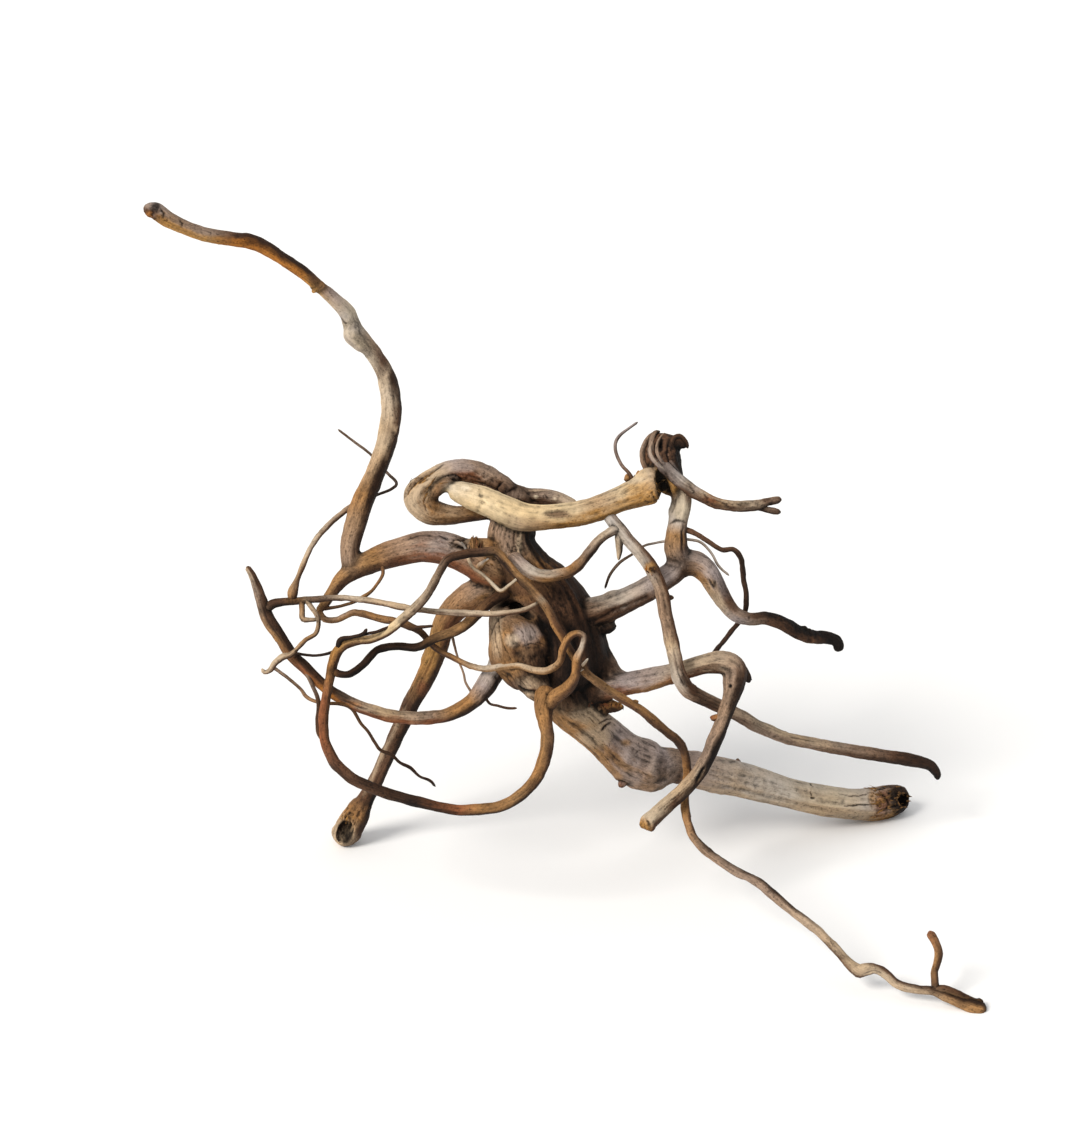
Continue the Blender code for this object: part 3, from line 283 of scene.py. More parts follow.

# The wood's colours along each root, as (point of the route, colour of the face that looks the given
# way, colour of the opposite face, and that way in degrees on the sheet: 0 right, 90 up, 180 left).
# The ways mostly point up or to the left, towards the light, so the opposite face's colour, mostly the
# darker one, is partly painted shade and partly the wood's own darker bark.
COATS = table("""
neck_and_crown: 0 taupe umber 150, 2 taupe bark 160, 3 tan bark 165, 4 umber bark 165, 5 umber bark 150,
  7 umber black 150
mound: 0 taupe bark 150, 1 tan umber 150, 3 umber bark 150
left_flank: 0 tan bark 120, 1 umber bark 120, 2 tan umber 150, 4 tan umber 150, 6 umber bark 150
mound_front: 0 lilac umber 140, 1 taupe bark 150, 2 tan bark 150, 3 umber bark 120
mound_skirt: 0 taupe umber 150, 1 tan umber 150, 2 beige umber 130, 4 beige umber 120
mound_right: 0 umber bark 150, 2 bark black 150, 4 bark black 150
rising_bulge: 0 silver pale 60, 1 pale silver 60
chin: 0 beige umber 120, 2 tan bark 120
right_flank: 0 umber bark 160, 1 umber bark 150, 3 umber black 150
arm_shoulder: 0 umber bark 110, 3 taupe umber 110
trunk: 0 tan bark 120, 1 beige tan 90, 2 beige tan 80, 3 lilac tan 60, 6 lilac taupe 80, 7 taupe umber 80,
  8 lilac taupe 80, 10 silver beige 80, 13 pale beige 80, 14 silver beige 70, 15 taupe golden 70,
  16 umber bark 90, 17 bark black 90
trunk_stub: 0 lilac umber 70, 2 russet umber 70
leg: 0 tan umber 150, 1 taupe tan 120, 3 tan russet 120, 4 golden umber 165, 5 tan bark 165,
  6 umber black 165, 8 umber black 165, 10 umber black 165, 11 tan bark 165, 12 beige umber 160
left_arm: 0 tan russet 90, 2 taupe russet 90, 3 lilac russet 90, 5 tan umber 100, 8 tan umber 120,
  10 tan umber 150
rising_root: 0 taupe umber 170, 3 tan bark 175, 5 beige bark 175, 6 beige umber 180, 7 beige bark 185,
  8 beige umber 190, 9 umber beige 20, 10 taupe pale 30, 11 silver pale 45, 12 pale silver 60,
  13 lilac beige 45, 14 umber golden 50, 15 bark orange 55, 17 bark orange 70, 18 umber orange 80,
  19 taupe golden 85, 21 taupe golden 80, 22 lilac umber 75, 23 taupe umber 80
rising_root_stub: 0 tan golden 90
right_arm: 0 bark black 100, 1 umber bark 100, 2 taupe bark 100, 3 silver umber 100, 5 lilac umber 110,
  7 lilac umber 110
riser_to_knot: 0 pale taupe 170, 1 pale taupe 170, 2 silver taupe 170, 3 tan bark 175, 5 taupe umber 175
hook_root: 0 taupe umber 80, 2 lilac tan 60, 4 umber beige 45, 5 taupe lilac 70, 6 umber taupe 80,
  7 black umber 100, 9 black bark 90, 10 black umber 90, 11 black black 90, 13 black black 90
middle_arm: 0 bark black 90, 1 taupe umber 95, 2 lilac russet 95, 3 lilac tan 95, 4 beige russet 90,
  5 beige umber 110, 7 taupe umber 150, 8 taupe bark 170, 12 taupe black 165, 14 beige bark 150,
  16 pale umber 130, 17 tan umber 120
corner_spike: 0 umber bark 120, 2 black black 120
loop: 0 umber bark 90, 2 taupe umber 90, 3 taupe russet 90, 4 lilac russet 90, 5 beige taupe 100,
  6 beige tan 150, 7 beige tan 160, 8 beige tan 170, 10 tan umber 90, 12 tan bark 90
loop_inner: 0 tan umber 120, 3 umber bark 120
loop_tail: 0 umber bark 90, 2 taupe umber 90, 4 beige umber 90
pale_root: 0 pale cream 90, 4 cream cream 90, 5 cream beige 90, 7 cream golden 90, 9 beige golden 90,
  11 cream golden 90, 12 beige golden 90, 13 tan golden 90
knot: 0 umber black 150, 2 umber black 150, 4 umber black 120
knot_beak: 0 umber black 120, 2 bark black 120
torn_ridge: 0 tan umber 90, 3 beige tan 90
black_knob: 0 bark black 120
splintered_wood: 0 russet bark 90, 3 golden bark 90
neck_stub: 0 bark black 150
knot_strands: 0 taupe black 150, 2 taupe bark 140, 4 lilac bark 110, 6 lilac umber 90
knot_strand_left: 0 umber black 150, 2 taupe bark 160, 5 umber black 160
knot_strand_middle: 0 taupe black 150, 3 taupe bark 150, 5 umber black 120
knot_strand_right: 0 umber black 140, 5 umber black 150
beak_ring: 0 umber bark 120, 4 bark black 100
left_low_root: 0 bark black 120, 1 silver bark 140, 2 lilac bark 140, 3 tan bark 130, 4 tan bark 120,
  5 taupe russet 90, 7 beige russet 80, 8 taupe russet 60, 9 bark orange 60, 11 bark russet 50,
  13 bark tan 40, 16 umber taupe 40, 18 umber beige 60
left_cross_root: 0 bark black 90, 3 umber bark 90, 5 beige umber 90, 13 beige umber 90, 15 pale umber 100
waved_root: 0 tan umber 90, 3 taupe tan 90, 5 tan umber 90, 10 umber bark 90, 12 tan umber 90,
  14 beige tan 90, 17 beige tan 100, 20 tan umber 130, 22 tan umber 100, 24 silver umber 150,
  25 tan umber 150, 29 tan umber 150
crossing_root: 0 bark black 110, 6 bark black 110, 8 tan bark 120, 10 umber bark 120, 12 bark black 120
arch_root: 0 tan umber 160, 3 tan umber 170, 6 tan bark 165, 8 tan bark 150, 9 russet bark 100,
  11 bark black 100, 13 bark umber 90, 14 umber bark 60, 16 russet umber 180, 18 russet umber 180,
  21 golden umber 150, 24 cream umber 130, 26 beige umber 130, 29 umber bark 130, 31 umber black 100,
  33 tan bark 60, 34 tan bark 60, 37 umber tan 50, 39 bark tan 50, 42 tan umber 70, 46 umber bark 60,
  48 tan umber 180, 51 tan umber 180, 54 taupe bark 180, 58 taupe bark 200, 62 beige umber 90,
  66 beige umber 230, 72 tan bark 230, 75 umber bark 100, 80 umber tan 90, 86 bark russet 90
tip_strand: 0 umber bark 90, 4 bark black 90
upright_twig: 0 umber bark 150, 3 tan umber 150, 7 russet umber 150
bowed_root: 0 taupe umber 110, 1 lilac taupe 110, 2 silver taupe 110, 3 silver tan 100, 5 tan umber 110,
  7 taupe bark 120, 9 beige umber 110, 11 silver umber 110
falling_root: 0 silver taupe 190, 4 silver umber 190, 6 taupe umber 190, 8 taupe umber 190,
  9 beige umber 190, 11 silver umber 190, 12 taupe umber 180, 13 taupe bark 120, 14 taupe umber 80,
  16 beige taupe 80, 18 beige taupe 80, 19 taupe umber 80, 20 umber bark 80, 21 bark bark 80,
  22 bark black 80, 24 black black 80
falling_root_stub: 0 umber bark 90
hanging_stub: 0 beige bark 170, 3 beige black 170
forked_twig: 0 lilac umber 90, 2 silver umber 80, 4 tan umber 80, 6 beige umber 80, 8 taupe bark 80,
  10 umber bark 80
forked_twig_tine: 0 taupe bark 80, 3 umber bark 80
draped_twig: 0 umber bark 110, 4 umber bark 110, 12 bark black 130
corner_knob: 0 tan umber 90, 2 russet umber 90
trunk_spike: 0 silver umber 90, 1 umber umber 90
arch_stub: 0 tan umber 90
torn_crown_left: 0 tan bark 90
torn_crown_right: 0 tan bark 90
splinter_slab_1: 0 tan black 150
splinter_slab_2: 0 tan bark 150
splinter_slab_3: 0 russet black 150
splinter_slab_4: 0 umber black 150
torn_chip_1: 0 taupe bark 90
torn_chip_2: 0 white bark 90
left_small_twig: 0 taupe umber 150, 4 beige umber 150, 8 tan umber 150
crooked_twig: 0 beige umber 120, 5 tan umber 120, 8 beige umber 120, 12 beige umber 120
crooked_twig_rung: 0 tan umber 120, 4 beige umber 120
torn_bits: 0 golden umber 120, 2 white golden 120
curled_hair: 0 umber bark 120, 7 lilac umber 120
right_hair: 0 silver taupe 90, 4 silver taupe 90
middle_hair: 0 silver taupe 90, 3 taupe umber 90, 6 bark black 90
crown_hair: 0 beige umber 110, 6 pale tan 110
white_torn_hair: 0 beige tan 110, 2 white beige 110
back_hair: 0 bark black 110, 7 taupe umber 110
under_arm_hair: 0 umber bark 110, 3 tan umber 110, 6 umber bark 110
trailing_hair: 0 taupe bark 110, 6 tan umber 110, 9 umber bark 110, 17 bark black 110
braided_hair: 0 taupe bark 130, 2 bark black 130, 5 umber bark 130
bridge_hair: 0 bark black 90
dark_knob_hair: 0 bark black 90
knob_link_hair: 0 bark black 90
waved_root_stub: 0 umber bark 90
shadow_hair: 0 taupe umber 110
low_hair: 0 umber bark 90
""")

# Touches of another colour: root, then each as (across, down, half width, half height, colour, strength).
# Some are the wood's own marks; many dark ones are painted shade, on the sides turned from the light, in
# the corners between parts and in hollows, and the pale touch on the mound is a painted highlight.
TOUCHES = table("""
rising_root: 78 103.5 2.8 3.2 black 0.9, 74.5 108 2 2.5 orange 0.7, 121 118 6 1.6 bark 0.7,
  197.5 189 4 10 bark 0.9
left_arm: 232 272 9 4 bark 0.85, 212 268.5 12 2.6 umber 0.6
left_low_root: 249 345 2.6 6 bark 0.8, 158 345 6 2.5 orange 0.5, 176 352.5 6 2 orange 0.4
pale_root: 330.5 243 3 7 black 0.8, 279 257.5 8.5 2.6 umber 0.85, 274 256 3 1.6 bark 0.5,
  302 253 14 8 golden 0.35, 322 247 12 9 golden 0.5, 316 240 8 2.5 pale 0.6
loop: 222 241 3 4 black 0.9, 231 234 8 3 lilac 0.6, 247 243 7 5 umber 0.7, 256 248 6 6 bark 0.7
mound_skirt: 254 320 6 5 lilac 0.8, 256 336 5 5 beige 0.6
neck_and_crown: 251 264 7 8 taupe 0.6, 267 270 5.5 14 black 0.9, 259.5 272 2 8 beige 0.7,
  245 283 9 7 umber 0.7, 259 295 15 5 umber 0.8, 248 298 9 4 tan 0.7, 254 286 8 6 umber 0.7,
  280 298 7 12 bark 0.7, 282 322 13 13 bark 0.8
right_arm: 301 309.5 15 5 umber 0.9, 297 299 9 2.5 silver 0.6, 284 310 6 9 bark 0.9, 290 320 11 6 umber 0.9
riser_to_knot: 341 256 5 6 pale 0.9, 348 270 3 10 black 0.7
mound: 263 317 9 6.5 lilac 1, 248 317 4 16 beige 0.7, 256 320 5 4 pale 0.5, 279 325 8.5 18 bark 1,
  254 335 9 7 tan 0.7, 266 337 7 5 umber 0.6
trunk: 449 400 6.5 9 black 0.85, 441 402 4.5 9 russet 0.75, 436 399 2.5 5 golden 0.6,
  313 371.5 3.5 2.4 golden 0.6, 307 376 4 8 umber 0.3, 322 381 3 7 umber 0.2, 331 384 4.5 8 umber 0.4,
  292 356 10 7 beige 0.6, 297 369 10 6 beige 0.8, 292 378 5 7 umber 0.4, 316 390 6 5 lilac 0.6
right_flank: 288 332 12 14 bark 0.5
left_flank: 248 316 4 14 beige 0.7, 256 318 3.5 6 lilac 0.9
mound_front: 263 317 9 6.5 lilac 1, 256 320 5 4 pale 0.5, 263 343 5 3 golden 0.5, 275 325 7 18 bark 1,
  262 335 8 5 umber 0.5
leg: 225 310 5 8 umber 0.6, 192 380 4 22 umber 0.5, 212 345 4 5 russet 0.7, 172 420 8 5 beige 0.6
knot: 333 236 8 7 umber 0.5
forked_twig: 356 249.5 5 2.4 russet 0.8, 372 253 4 1.6 bark 0.6, 349 244 3 2.4 lilac 0.7,
  383 250 3 2.4 umber 0.8
hook_root: 357 292.5 1.5 2.5 black 0.6, 367 303 4 4 umber 0.7
falling_root: 325 284 3.4 3 golden 0.8, 327 285 1.6 2.2 bark 0.9, 341.5 340.5 2.5 3.5 bark 0.8,
  453 379.5 1.6 4 bark 0.8
middle_arm: 365.2 343.2 0.9 1.4 black 1, 327 405 6 6 beige 0.6, 321 414 5 5 golden 0.7
loop_tail: 268 248.5 1.3 1 pale 0.9, 277.5 249.8 1.2 1 pale 0.9
""")

# Strokes cut or raised along lines of points on the sheet, on the faces that look out of it: root or group
# of roots, then each as (rise in mm, half width in mm, colour, its strength, then across and down of each
# point). The black and dark brown of the deep cuts is partly painted shade, as in the gaps under the
# stump's overhangs, and some pale raised strokes are painted highlights on lit edges.
STROKES = table("""
rising_root: -0.7 0.6 bark 0.8 80 104 82 107 81 110, -0.5 0.4 bark 0.8 89 109.5 91 112 90.5 114,
  -0.6 0.7 umber 0.7 169.5 158 173 162 178 163, -0.4 0.5 umber 0.6 186 150 181 147
loop: -2.8 1.2 umber 0.9 201.5 250 204.5 244 211 238.6 222 232.4, 0.7 0.45 pale 0.9 201.6 246.5 206.5 239.6
  213 234.6 223 230.4, 0.6 0.3 golden 0.9 203 249 208 242.5 217 236.4,
  0.7 1.6 beige 0.7 206 253 210 245.5 216 239 223 235,
  -2 1.1 black 0.95 221.5 244.5 222 240.5 226 238.8 232 240,
  -1.4 0.55 black 0.9 252 240.5 249.5 243.5 248.2 247, -1 0.5 black 0.8 243.5 243.2 248 245 252 249,
  -0.8 0.4 bark 0.7 236 240.5 241 242 245 244, -0.8 0.5 bark 0.7 259 245.5 261 250,
  -0.5 0.4 umber 0.6 214 257 212 251 214.5 245
loop_tail: 0.5 0.5 beige 0.7 262 245.5 270 245.3 277 245.5,
  -0.8 0.7 black 0.8 259 248.5 264 250.5 270 251.5, -0.6 0.5 bark 0.8 272 247 274.5 250.5
pale_root: -0.7 1.8 cream 0.4 239.5 244 240.5 250 238.5 257, 0.4 1.2 white 0.4 230 244 236 244.5, -3.5 1.6
  black 1 328.5 234.5 330.5 239.5 332.5 244.5 335 249, -0.8 0.5 umber 0.8 326 246 327 249.5 329 251,
  -0.6 0.4 umber 0.7 322 250.5 325 251.5 328 250.5
strand_area: -0.4 0.35 black 0.85 327.4 219.5 326.2 224 327.6 229 333 234.2 341 240.2, -0.4 0.3 bark 0.8
  324.4 219.8 323.8 225 325 230.4 330.4 235.6 338 241.6, -0.3 0.3 black 0.8 323 222 321.8 228 323.4 233,
  -0.3 0.3 bark 0.8 330 222 330 226.4 333 231.4 338.6 236.6, 0.3 0.4 pale 0.5 326 221 325 226 329 232.2 336
  237.6 343 242.4
knot_area: -2.2 1.2 black 1 331.5 219 330 222.5 331.5 226,
  -2.8 1.8 black 1 329 235 331.5 238 333.5 243 335.5 249,
  -1.5 0.8 black 0.9 328 218 327.5 226 332 233 339 240,
  -1.5 0.8 black 0.9 334.5 221 334 229 337 236 342 242
riser_to_knot: -0.9 0.8 bark 0.9 334.5 262.5 338 260.5 343 261.5,
  -0.5 0.5 umber 0.6 338 246 337.5 252 336 257, -0.5 0.6 bark 0.7 341.5 263 341 270 341.5 277
neck_and_crown: -0.4 0.3 umber 0.5 250.4 261 248.8 265 248.6 269.5, -0.4 0.3 umber 0.4 247 262 246 266,
  -0.4 0.3 umber 0.4 254 264 252.2 268 253.6 273, -0.4 0.5 bark 0.4 258.5 260 257 268 257.5 276,
  0.6 0.8 beige 0.7 261 261 260 269 259 277, -0.7 0.5 bark 0.7 255 275.5 257.5 273.5 259 277
left_arm: -1.2 1 black 0.95 226 271.5 230 273.5 234 275.5, -0.7 0.5 black 0.8 219 268 224 270,
  -0.5 0.5 bark 0.6 204 270.5 210 268 217 268.5
stump: -1.6 1.7 black 0.95 254.5 309 259 308.2 264 309.5 269.5 312.5 273.5 318 276 325 276.5 334, -5.5 1.6
  black 1 248.5 303.5 254 302 258.5 304 263 306.5 268 309,
  -1.8 2.6 bark 0.85 268 309 274.5 314.5 278 321 280 331,
  -2.4 0.9 black 1 259 343 262 345.5 267 346.5 273 350, -1 0.8 black 0.9 280 340 283 345 287 350, -0.5 0.35
  bark 0.7 259 322.5 262 323.6 265.5 322 269.5 322.8, -0.4 0.3 bark 0.6 266 322.5 270 321.5 273.5 323.5,
  -0.3 0.3 umber 0.6 257.5 313.5 260.5 315.6 262 319, -0.3 0.3 umber 0.5 264 312.5 267 315 268 319,
  -0.4 0.28 russet 0.7 261.5 328.8 263 331.5 263.2 335,
  -0.4 0.28 russet 0.7 264.6 328.6 265.4 332 266.4 334.5, -0.4 0.28 russet 0.7 267.6 328 268 331 268.8 334,
  -0.4 0.28 russet 0.5 258.8 329.4 259.6 333 260.5 336, -0.45 0.35 golden 0.5 249.8 306 249.6 314 252 323
  256.5 331, -0.45 0.35 tan 0.5 247.4 312 248 322 251.5 332, -0.4 0.3 golden 0.5 252.2 309 252 315 254 321,
  -0.3 0.3 umber 0.6 257 338 261 341 264 345
chin: -0.8 0.5 bark 0.8 270.5 346 273 351 275 356
arch_root: -0.7 0.5 umber 0.8 273 346 275 351 274 358
middle_arm: -1.8 0.8 black 1 352.6 383 350.4 387.5 348 391.5,
  0.3 0.4 pale 0.5 350.5 382.5 348.5 387 346.5 390.5, -0.5 0.4 umber 0.7 345.5 391 338 398.5 329 406,
  -0.4 0.7 russet 0.6 343.5 394.5 337 401 331 406, -0.9 0.6 black 0.8 322.5 409 324.5 412 325 415.5,
  -0.8 0.6 bark 0.8 318.5 411 321 414.5, -0.3 0.4 umber 0.6 305 342.5 307 344,
  -0.3 0.35 umber 0.5 344 337 354 335 360 337.5 362.5 344
right_arm: -0.6 0.8 russet 0.7 296 312 304 307 309 304, -0.5 0.5 bark 0.7 283 304 287 308 286 314
hook_root: -1 0.5 black 1 353.8 289.3 357.2 294.4, -1 0.5 black 1 357.2 294.4 358 290.6,
  -0.5 0.4 black 0.7 374.5 308 375 310, -0.9 0.8 umber 0.6 384 307.5 392 311 397 316
trunk: -1.4 0.6 black 0.9 300.3 366 302.8 363 306 361.3, -0.6 0.4 umber 0.7 299 362.6 303 360 306.5 359.6,
  -0.9 3 umber 0.12 311 365.5 307.6 372 306.6 381, 1.2 2.6 lilac 0.3 314 372 313 383,
  -0.6 2.4 umber 0.1 325 375.5 321.5 382 320 389, 0.9 1.8 silver 0.2 327.8 377 325 389,
  -1.1 2.8 bark 0.15 330.5 374.5 331.4 383.5 329.5 393, -0.4 0.3 umber 0.6 317 377.5 319 375.6 321.5 375,
  -0.4 0.3 umber 0.5 324 372 327 373.5 329 376, -0.3 0.3 umber 0.5 291 357 295.5 360 298.5 364,
  -0.9 0.4 black 0.9 404.6 391.6 406.6 394.2, -0.4 0.3 umber 0.6 406.4 394 405.2 396.5 406.3 399,
  -0.9 0.5 bark 0.9 405.2 399 407.6 399.4, -0.7 0.3 bark 0.7 419 397.2 428 398.2 439 396,
  -0.8 0.35 black 0.8 421 403.5 430 402.6 442 402.2, -1.6 0.8 black 0.8 436 396 443 393.5 449 394.5,
  -1.6 0.8 black 0.8 438 407 445 404 452 402, -1.2 0.8 black 0.8 441 397 444 402 443 408,
  0.8 0.9 golden 0.7 436 399.5 441 400 446 397.5
leg: 0 2.2 bark 0.8 223 326 214.5 344 208 354 201 368 194.8 383 188 398, 0 1.2 beige 0.8 203 352 198.4 363
  191 377.5 185.2 391 181 399, -0.5 0.4 bark 0.8 206.5 343 205 347, -0.5 0.4 bark 0.8 203 352 201.5 355,
  -0.4 0.5 russet 0.6 219 321 214.5 333 209 344, -0.9 0.6 bark 0.8 176 405.5 173 408.5 171.5 412,
  -0.8 0.5 bark 0.8 180 405 179 409
black_knob: -0.6 0.6 black 0.9 300 311 303 315
falling_root: -0.8 0.5 black 0.95 325 286.5 327 284, -0.6 0.5 bark 0.8 339.5 337 341 341 343.5 343,
  -0.3 0.3 bark 0.9 334.2 326.6 334.8 327.4
forked_twig: -0.5 0.5 bark 0.9 343.5 241.5 346 244.5 347 247.5,
  -0.5 0.5 bark 0.9 351 246 353.5 250 354 253, -0.5 0.6 bark 0.9 357.5 250 362 252 366 255,
  -0.4 0.4 umber 0.9 366 250.5 370 253 376 254.5, -0.6 0.6 black 0.9 377 251.5 380 252.8 383 252.2,
  0.3 0.5 pale 0.7 346 242.5 352 247 360 250.5 370 252
left_low_root: -0.8 0.6 black 0.9 246.5 337 248.5 341 247 346, -0.5 0.5 bark 0.7 170 349 178 353 186 355.5
""")

# The roots that one group of strokes covers
STROKE_GROUPS = {
    "stump": ("neck_and_crown", "mound", "left_flank", "mound_front", "mound_skirt", "mound_right", "chin",
              "right_flank", "arm_shoulder", "trunk", "leg", "left_arm", "right_arm"),
    "strand_area": ("knot_strands", "knot_strand_left", "knot_strand_middle", "knot_strand_right"),
    "knot_area": ("knot", "knot_beak", "riser_to_knot", "pale_root"),
}

# Knots and dimples: root, then each as (across, down, half width, height; a dimple's height is negative)
KNOTS = table("""
rising_root: 123.5 118 2.2 0.7, 193.5 189 2 0.7, 172 168 3 0.8, 156 146 2 0.8
trunk: 318 371.5 3.6 0.9, 405.5 395 1.8 0.8, 309 389 3 1, 368.8 384 3 1
left_arm: 212 270 3 0.5, 220 270 1.2 0.5
loop: 236 236 1 0.5, 240.5 238 0.8 0.5, 233 239.5 0.9 -0.5, 244 240 1 0.6, 248 239 0.8 -0.5,
  256 245 2.4 0.8
loop_tail: 268 248.5 1 0.6, 277.5 249.8 0.9 0.6, 264 247.5 1.2 -0.5
mound: 261.8 322.5 1.2 0.5, 262 322.7 0.5 -0.7
falling_root: 325.5 284.5 2.4 0.8, 325.5 284.5 1 -0.8, 453 379.5 2.2 0.8, 334.5 327 1.2 0.4,
  341.5 340.5 3 0.9
middle_arm: 365.2 343.2 0.8 -0.9, 306 343 2 0.5, 320 413 2.4 1.1, 325.6 414.5 2.2 0.9
arch_root: 431.5 484 2.6 0.6, 328 362 2 0.6, 193 396 1.8 0.5
right_arm: 300 313 4 -0.7
""")

# Folds of the stump that lie on the routes above
FOLD_ROUTES = table("""
left_flank: 254 295 3 14, 251.8 303 7 13, 251 312 9 13, 252 321 11 14, 255 331 12 16, 259 338 13 14,
  263.5 343.5 14 9
mound_front: 259 317 17 14, 262.5 327 19 17, 266.5 336 19 14, 270 343 19 10, 272 347 18 7
mound_skirt: 254 320 12 14, 258.5 329 16 17, 263.5 337.5 18 16, 269 344.5 20 13, 273.5 349 21 8
mound_right: 269 304 8 12, 275 313 9 17, 278.5 325 10 19, 279 337 10 18, 276.5 347 10 14
rising_bulge: 176 163.5 2 7.4, 175.5 167.4 0 8.6, 178.8 171 -3 8.4, 182.8 174.8 -6 7.4
loop_inner: 214 250 2 7, 217 245.8 3 8, 221.5 243 3 8, 226 241 2 7
""")

# Strands of the torn knot, splinters and chips that lie on the stout wood
SURFACE_ROUTES = table("""
knot_strands: 328.5 215.6 8 2.2, 326.6 218.5 9.8 2.8, 325.4 223 12.2 3.2, 326.2 228.5 13.4 3.6,
  330.6 233.6 14.2 4.2, 337.6 239.8 13.8 5, 343.5 243.8 12.8 5.2
knot_strand_left: 330 215.8 7.4 2.2, 325 218.6 8 2.8, 322.2 224 8.6 3.2, 321.8 230 9 3.2,
  323.6 235 10.6 2.8, 326 238 13.6 2
knot_strand_middle: 332.5 217 9 1.8, 329.4 220.6 12.4 2, 328.6 225.6 14.6 2.2, 330.4 230.4 15.2 2.2,
  334.6 235.2 14.8 2.2, 340.4 240.4 13.2 2.2
knot_strand_right: 337.5 218.6 10.4 2, 335.2 222.4 12.2 2.2, 334.6 227.6 13.8 2.2, 336.6 232.8 13.6 2.2,
  340 238 12 2, 344.6 242.8 11.6 1.8
beak_ring: 335.8 222.6 13 2.2, 336.8 219.4 12.4 2.4, 340.2 218.4 11.4 2.4, 343 221.2 11 2.2,
  343.8 224.4 10.4 1.6
splinter_slab_1: 233.6 276 9 1.8, 234.6 272.6 10 1.8, 236 270.6 9.4 1
splinter_slab_2: 236.2 276.4 9.6 2.2, 236.4 272.6 10.8 2.4, 236 269 9.4 1.6
splinter_slab_3: 238.2 277 9.8 2, 238.6 273 10.8 2, 237.6 268.8 9.6 1.2
splinter_slab_4: 240.6 276.8 9.6 1.8, 240.2 274 10.2 1.6, 240.8 271.6 9.6 1
torn_chip_1: 225.4 273.4 7 1.6, 228.4 271.6 10.4 1.8, 231.6 273.6 11 1.6
torn_chip_2: 230.6 271.4 9 1.2, 232.6 274.2 11.6 1.4, 233 276.6 11 1
""")

# Smaller hollows of the dressed root, written as in HOLLOWS
SMALL_HOLLOWS = table("""
knot_hole: 330.2 236.6 16, 2 3.5 2.8, 0 -20
cavity_of_pale_root: 331.4 244 18.5, 3.2 7 7.4, 0 -24
hollow_under_scoop: 254.5 303.8 16, 3.6 6 1.5, 0 0
""")

# Rough places: root, then each as (across, down, half width, height in mm, size of its lumps in mm)
ROUGH_PLACES = table("""
rising_root: 76 106 5 0.7 1.3
trunk: 447 400 9 1.3 2.4, 439 400 5 0.5 1.2
middle_arm: 321.5 414 6 1 1.8
neck_and_crown: 256 275 6 0.8 1.6, 280 300 8 0.4 1.5
left_arm: 232 273 7 0.9 1.5
pale_root: 328 249.5 4.5 0.8 1.5
mound: 264 330 12 0.7 3
mound_front: 264 328 14 0.9 3.4
loop: 248 243 9 0.6 2, 212 240 5 0.4 1.2
leg: 174 407 6 0.6 1.3
knot: 330 226 14 0.8 1.9
knot_strands: 327 224 9 0.35 1
knot_strand_left: 323 226 9 0.35 1
forked_twig: 366 253 28 0.3 1.6
splintered_wood: 300 352 12 0.8 1.5
hook_root: 404 317 20 0.9 2.6
""")

# Torn fibres: place on the sheet with its depth, the way that they point on the sheet in degrees and how
# far they lift off the wood, how many, their length and thickness in mm, how far apart they stand in mm,
# and the two colours that they vary between
TORN_FIBRES = table("""
crown_of_pale_root: 318 239.5 13, 70 40, 14, 2.2 0.7, 5 1 2.5, bark tan
splinter_block: 238 272.5 11, 95 8, 26, 4.5 0.8, 3 3 1, bark tan
torn_patch_of_left_arm: 228.5 273 10, 5 12, 20, 4 0.7, 4 2 1, black taupe
torn_neck: 243 281 12, 150 25, 12, 3 0.8, 3 2 2, umber golden
torn_wood_under_stump: 303 352.5 -3, 262 3, 26, 2.8 0.7, 12 1.8 1, black russet
rim_of_pale_root: 327.5 247.5 15, 300 20, 14, 2.4 0.7, 2.5 5 3, bark golden
broken_trunk_end: 448 400 -80, 0 22, 60, 3.4 1.1, 6 8 6, black tan
rim_of_trunk_end: 438 401 -76, 180 4, 60, 6 0.8, 3 8 2, umber golden
mouth_of_leg: 174 409 -50, 250 8, 22, 3 0.7, 4.5 1.6 1.5, bark golden
white_tear_on_waved_root: 290.5 335.5 42, 80 40, 8, 3 0.5, 1.4 1.4 1.4, tan white
split_of_loop: 211 240.5 6, 47 4, 30, 6 0.6, 8 7 1, umber golden
knot_of_falling_root: 325 285 18, 100 12, 12, 2.4 0.7, 2.4 1.6 1, bark orange
""")


def linear(code):
    """The linear colour of a six-figure display colour."""
    shown = [int(code[place:place + 2], 16) / 255 for place in (0, 2, 4)]
    return tuple(c / 12.92 if c <= 0.04045 else ((c + 0.055) / 1.055) ** 2.4 for c in shown)


def wood_tone(label, code):
    """A colour property of the wood."""
    return FloatVectorProperty(name=label, description=f"{label} of the dry wood", subtype="COLOR",
                               size=3, min=0.0, max=1.0, default=linear(code))


def wood_length(label, note, millimetres):
    """A length property."""
    return FloatProperty(name=label, description=note, subtype="DISTANCE", unit="LENGTH",
                         default=millimetres * MM, precision=5)


def wood_share(label, note, default):
    """A property that is a share of something."""
    return FloatProperty(name=label, description=note, subtype="FACTOR", default=default)


class BogwoodColours(bpy.types.PropertyGroup):
    """The colours that the coats and touches name"""

    white: wood_tone("White of torn fibres", "C4BDB1")
    cream: wood_tone("Cream of the peeled root", "BCA682")
    pale: wood_tone("Pale beige", "B2A38D")
    silver: wood_tone("Silver grey of upper faces", "A09487")
    lilac: wood_tone("Lilac grey", "8E7F77")
    beige: wood_tone("Beige", "9F8B73")
    taupe: wood_tone("Taupe", "7D6857")
    tan: wood_tone("Tan", "84613C")
    golden: wood_tone("Golden brown of undersides", "986F3B")
    orange: wood_tone("Orange of torn wood", "996127")
    russet: wood_tone("Reddish brown", "6F442B")
    umber: wood_tone("Dark brown", "4E3626")
    bark: wood_tone("Bark brown", "2E1E14")
    black: wood_tone("Near black", "130D0A")


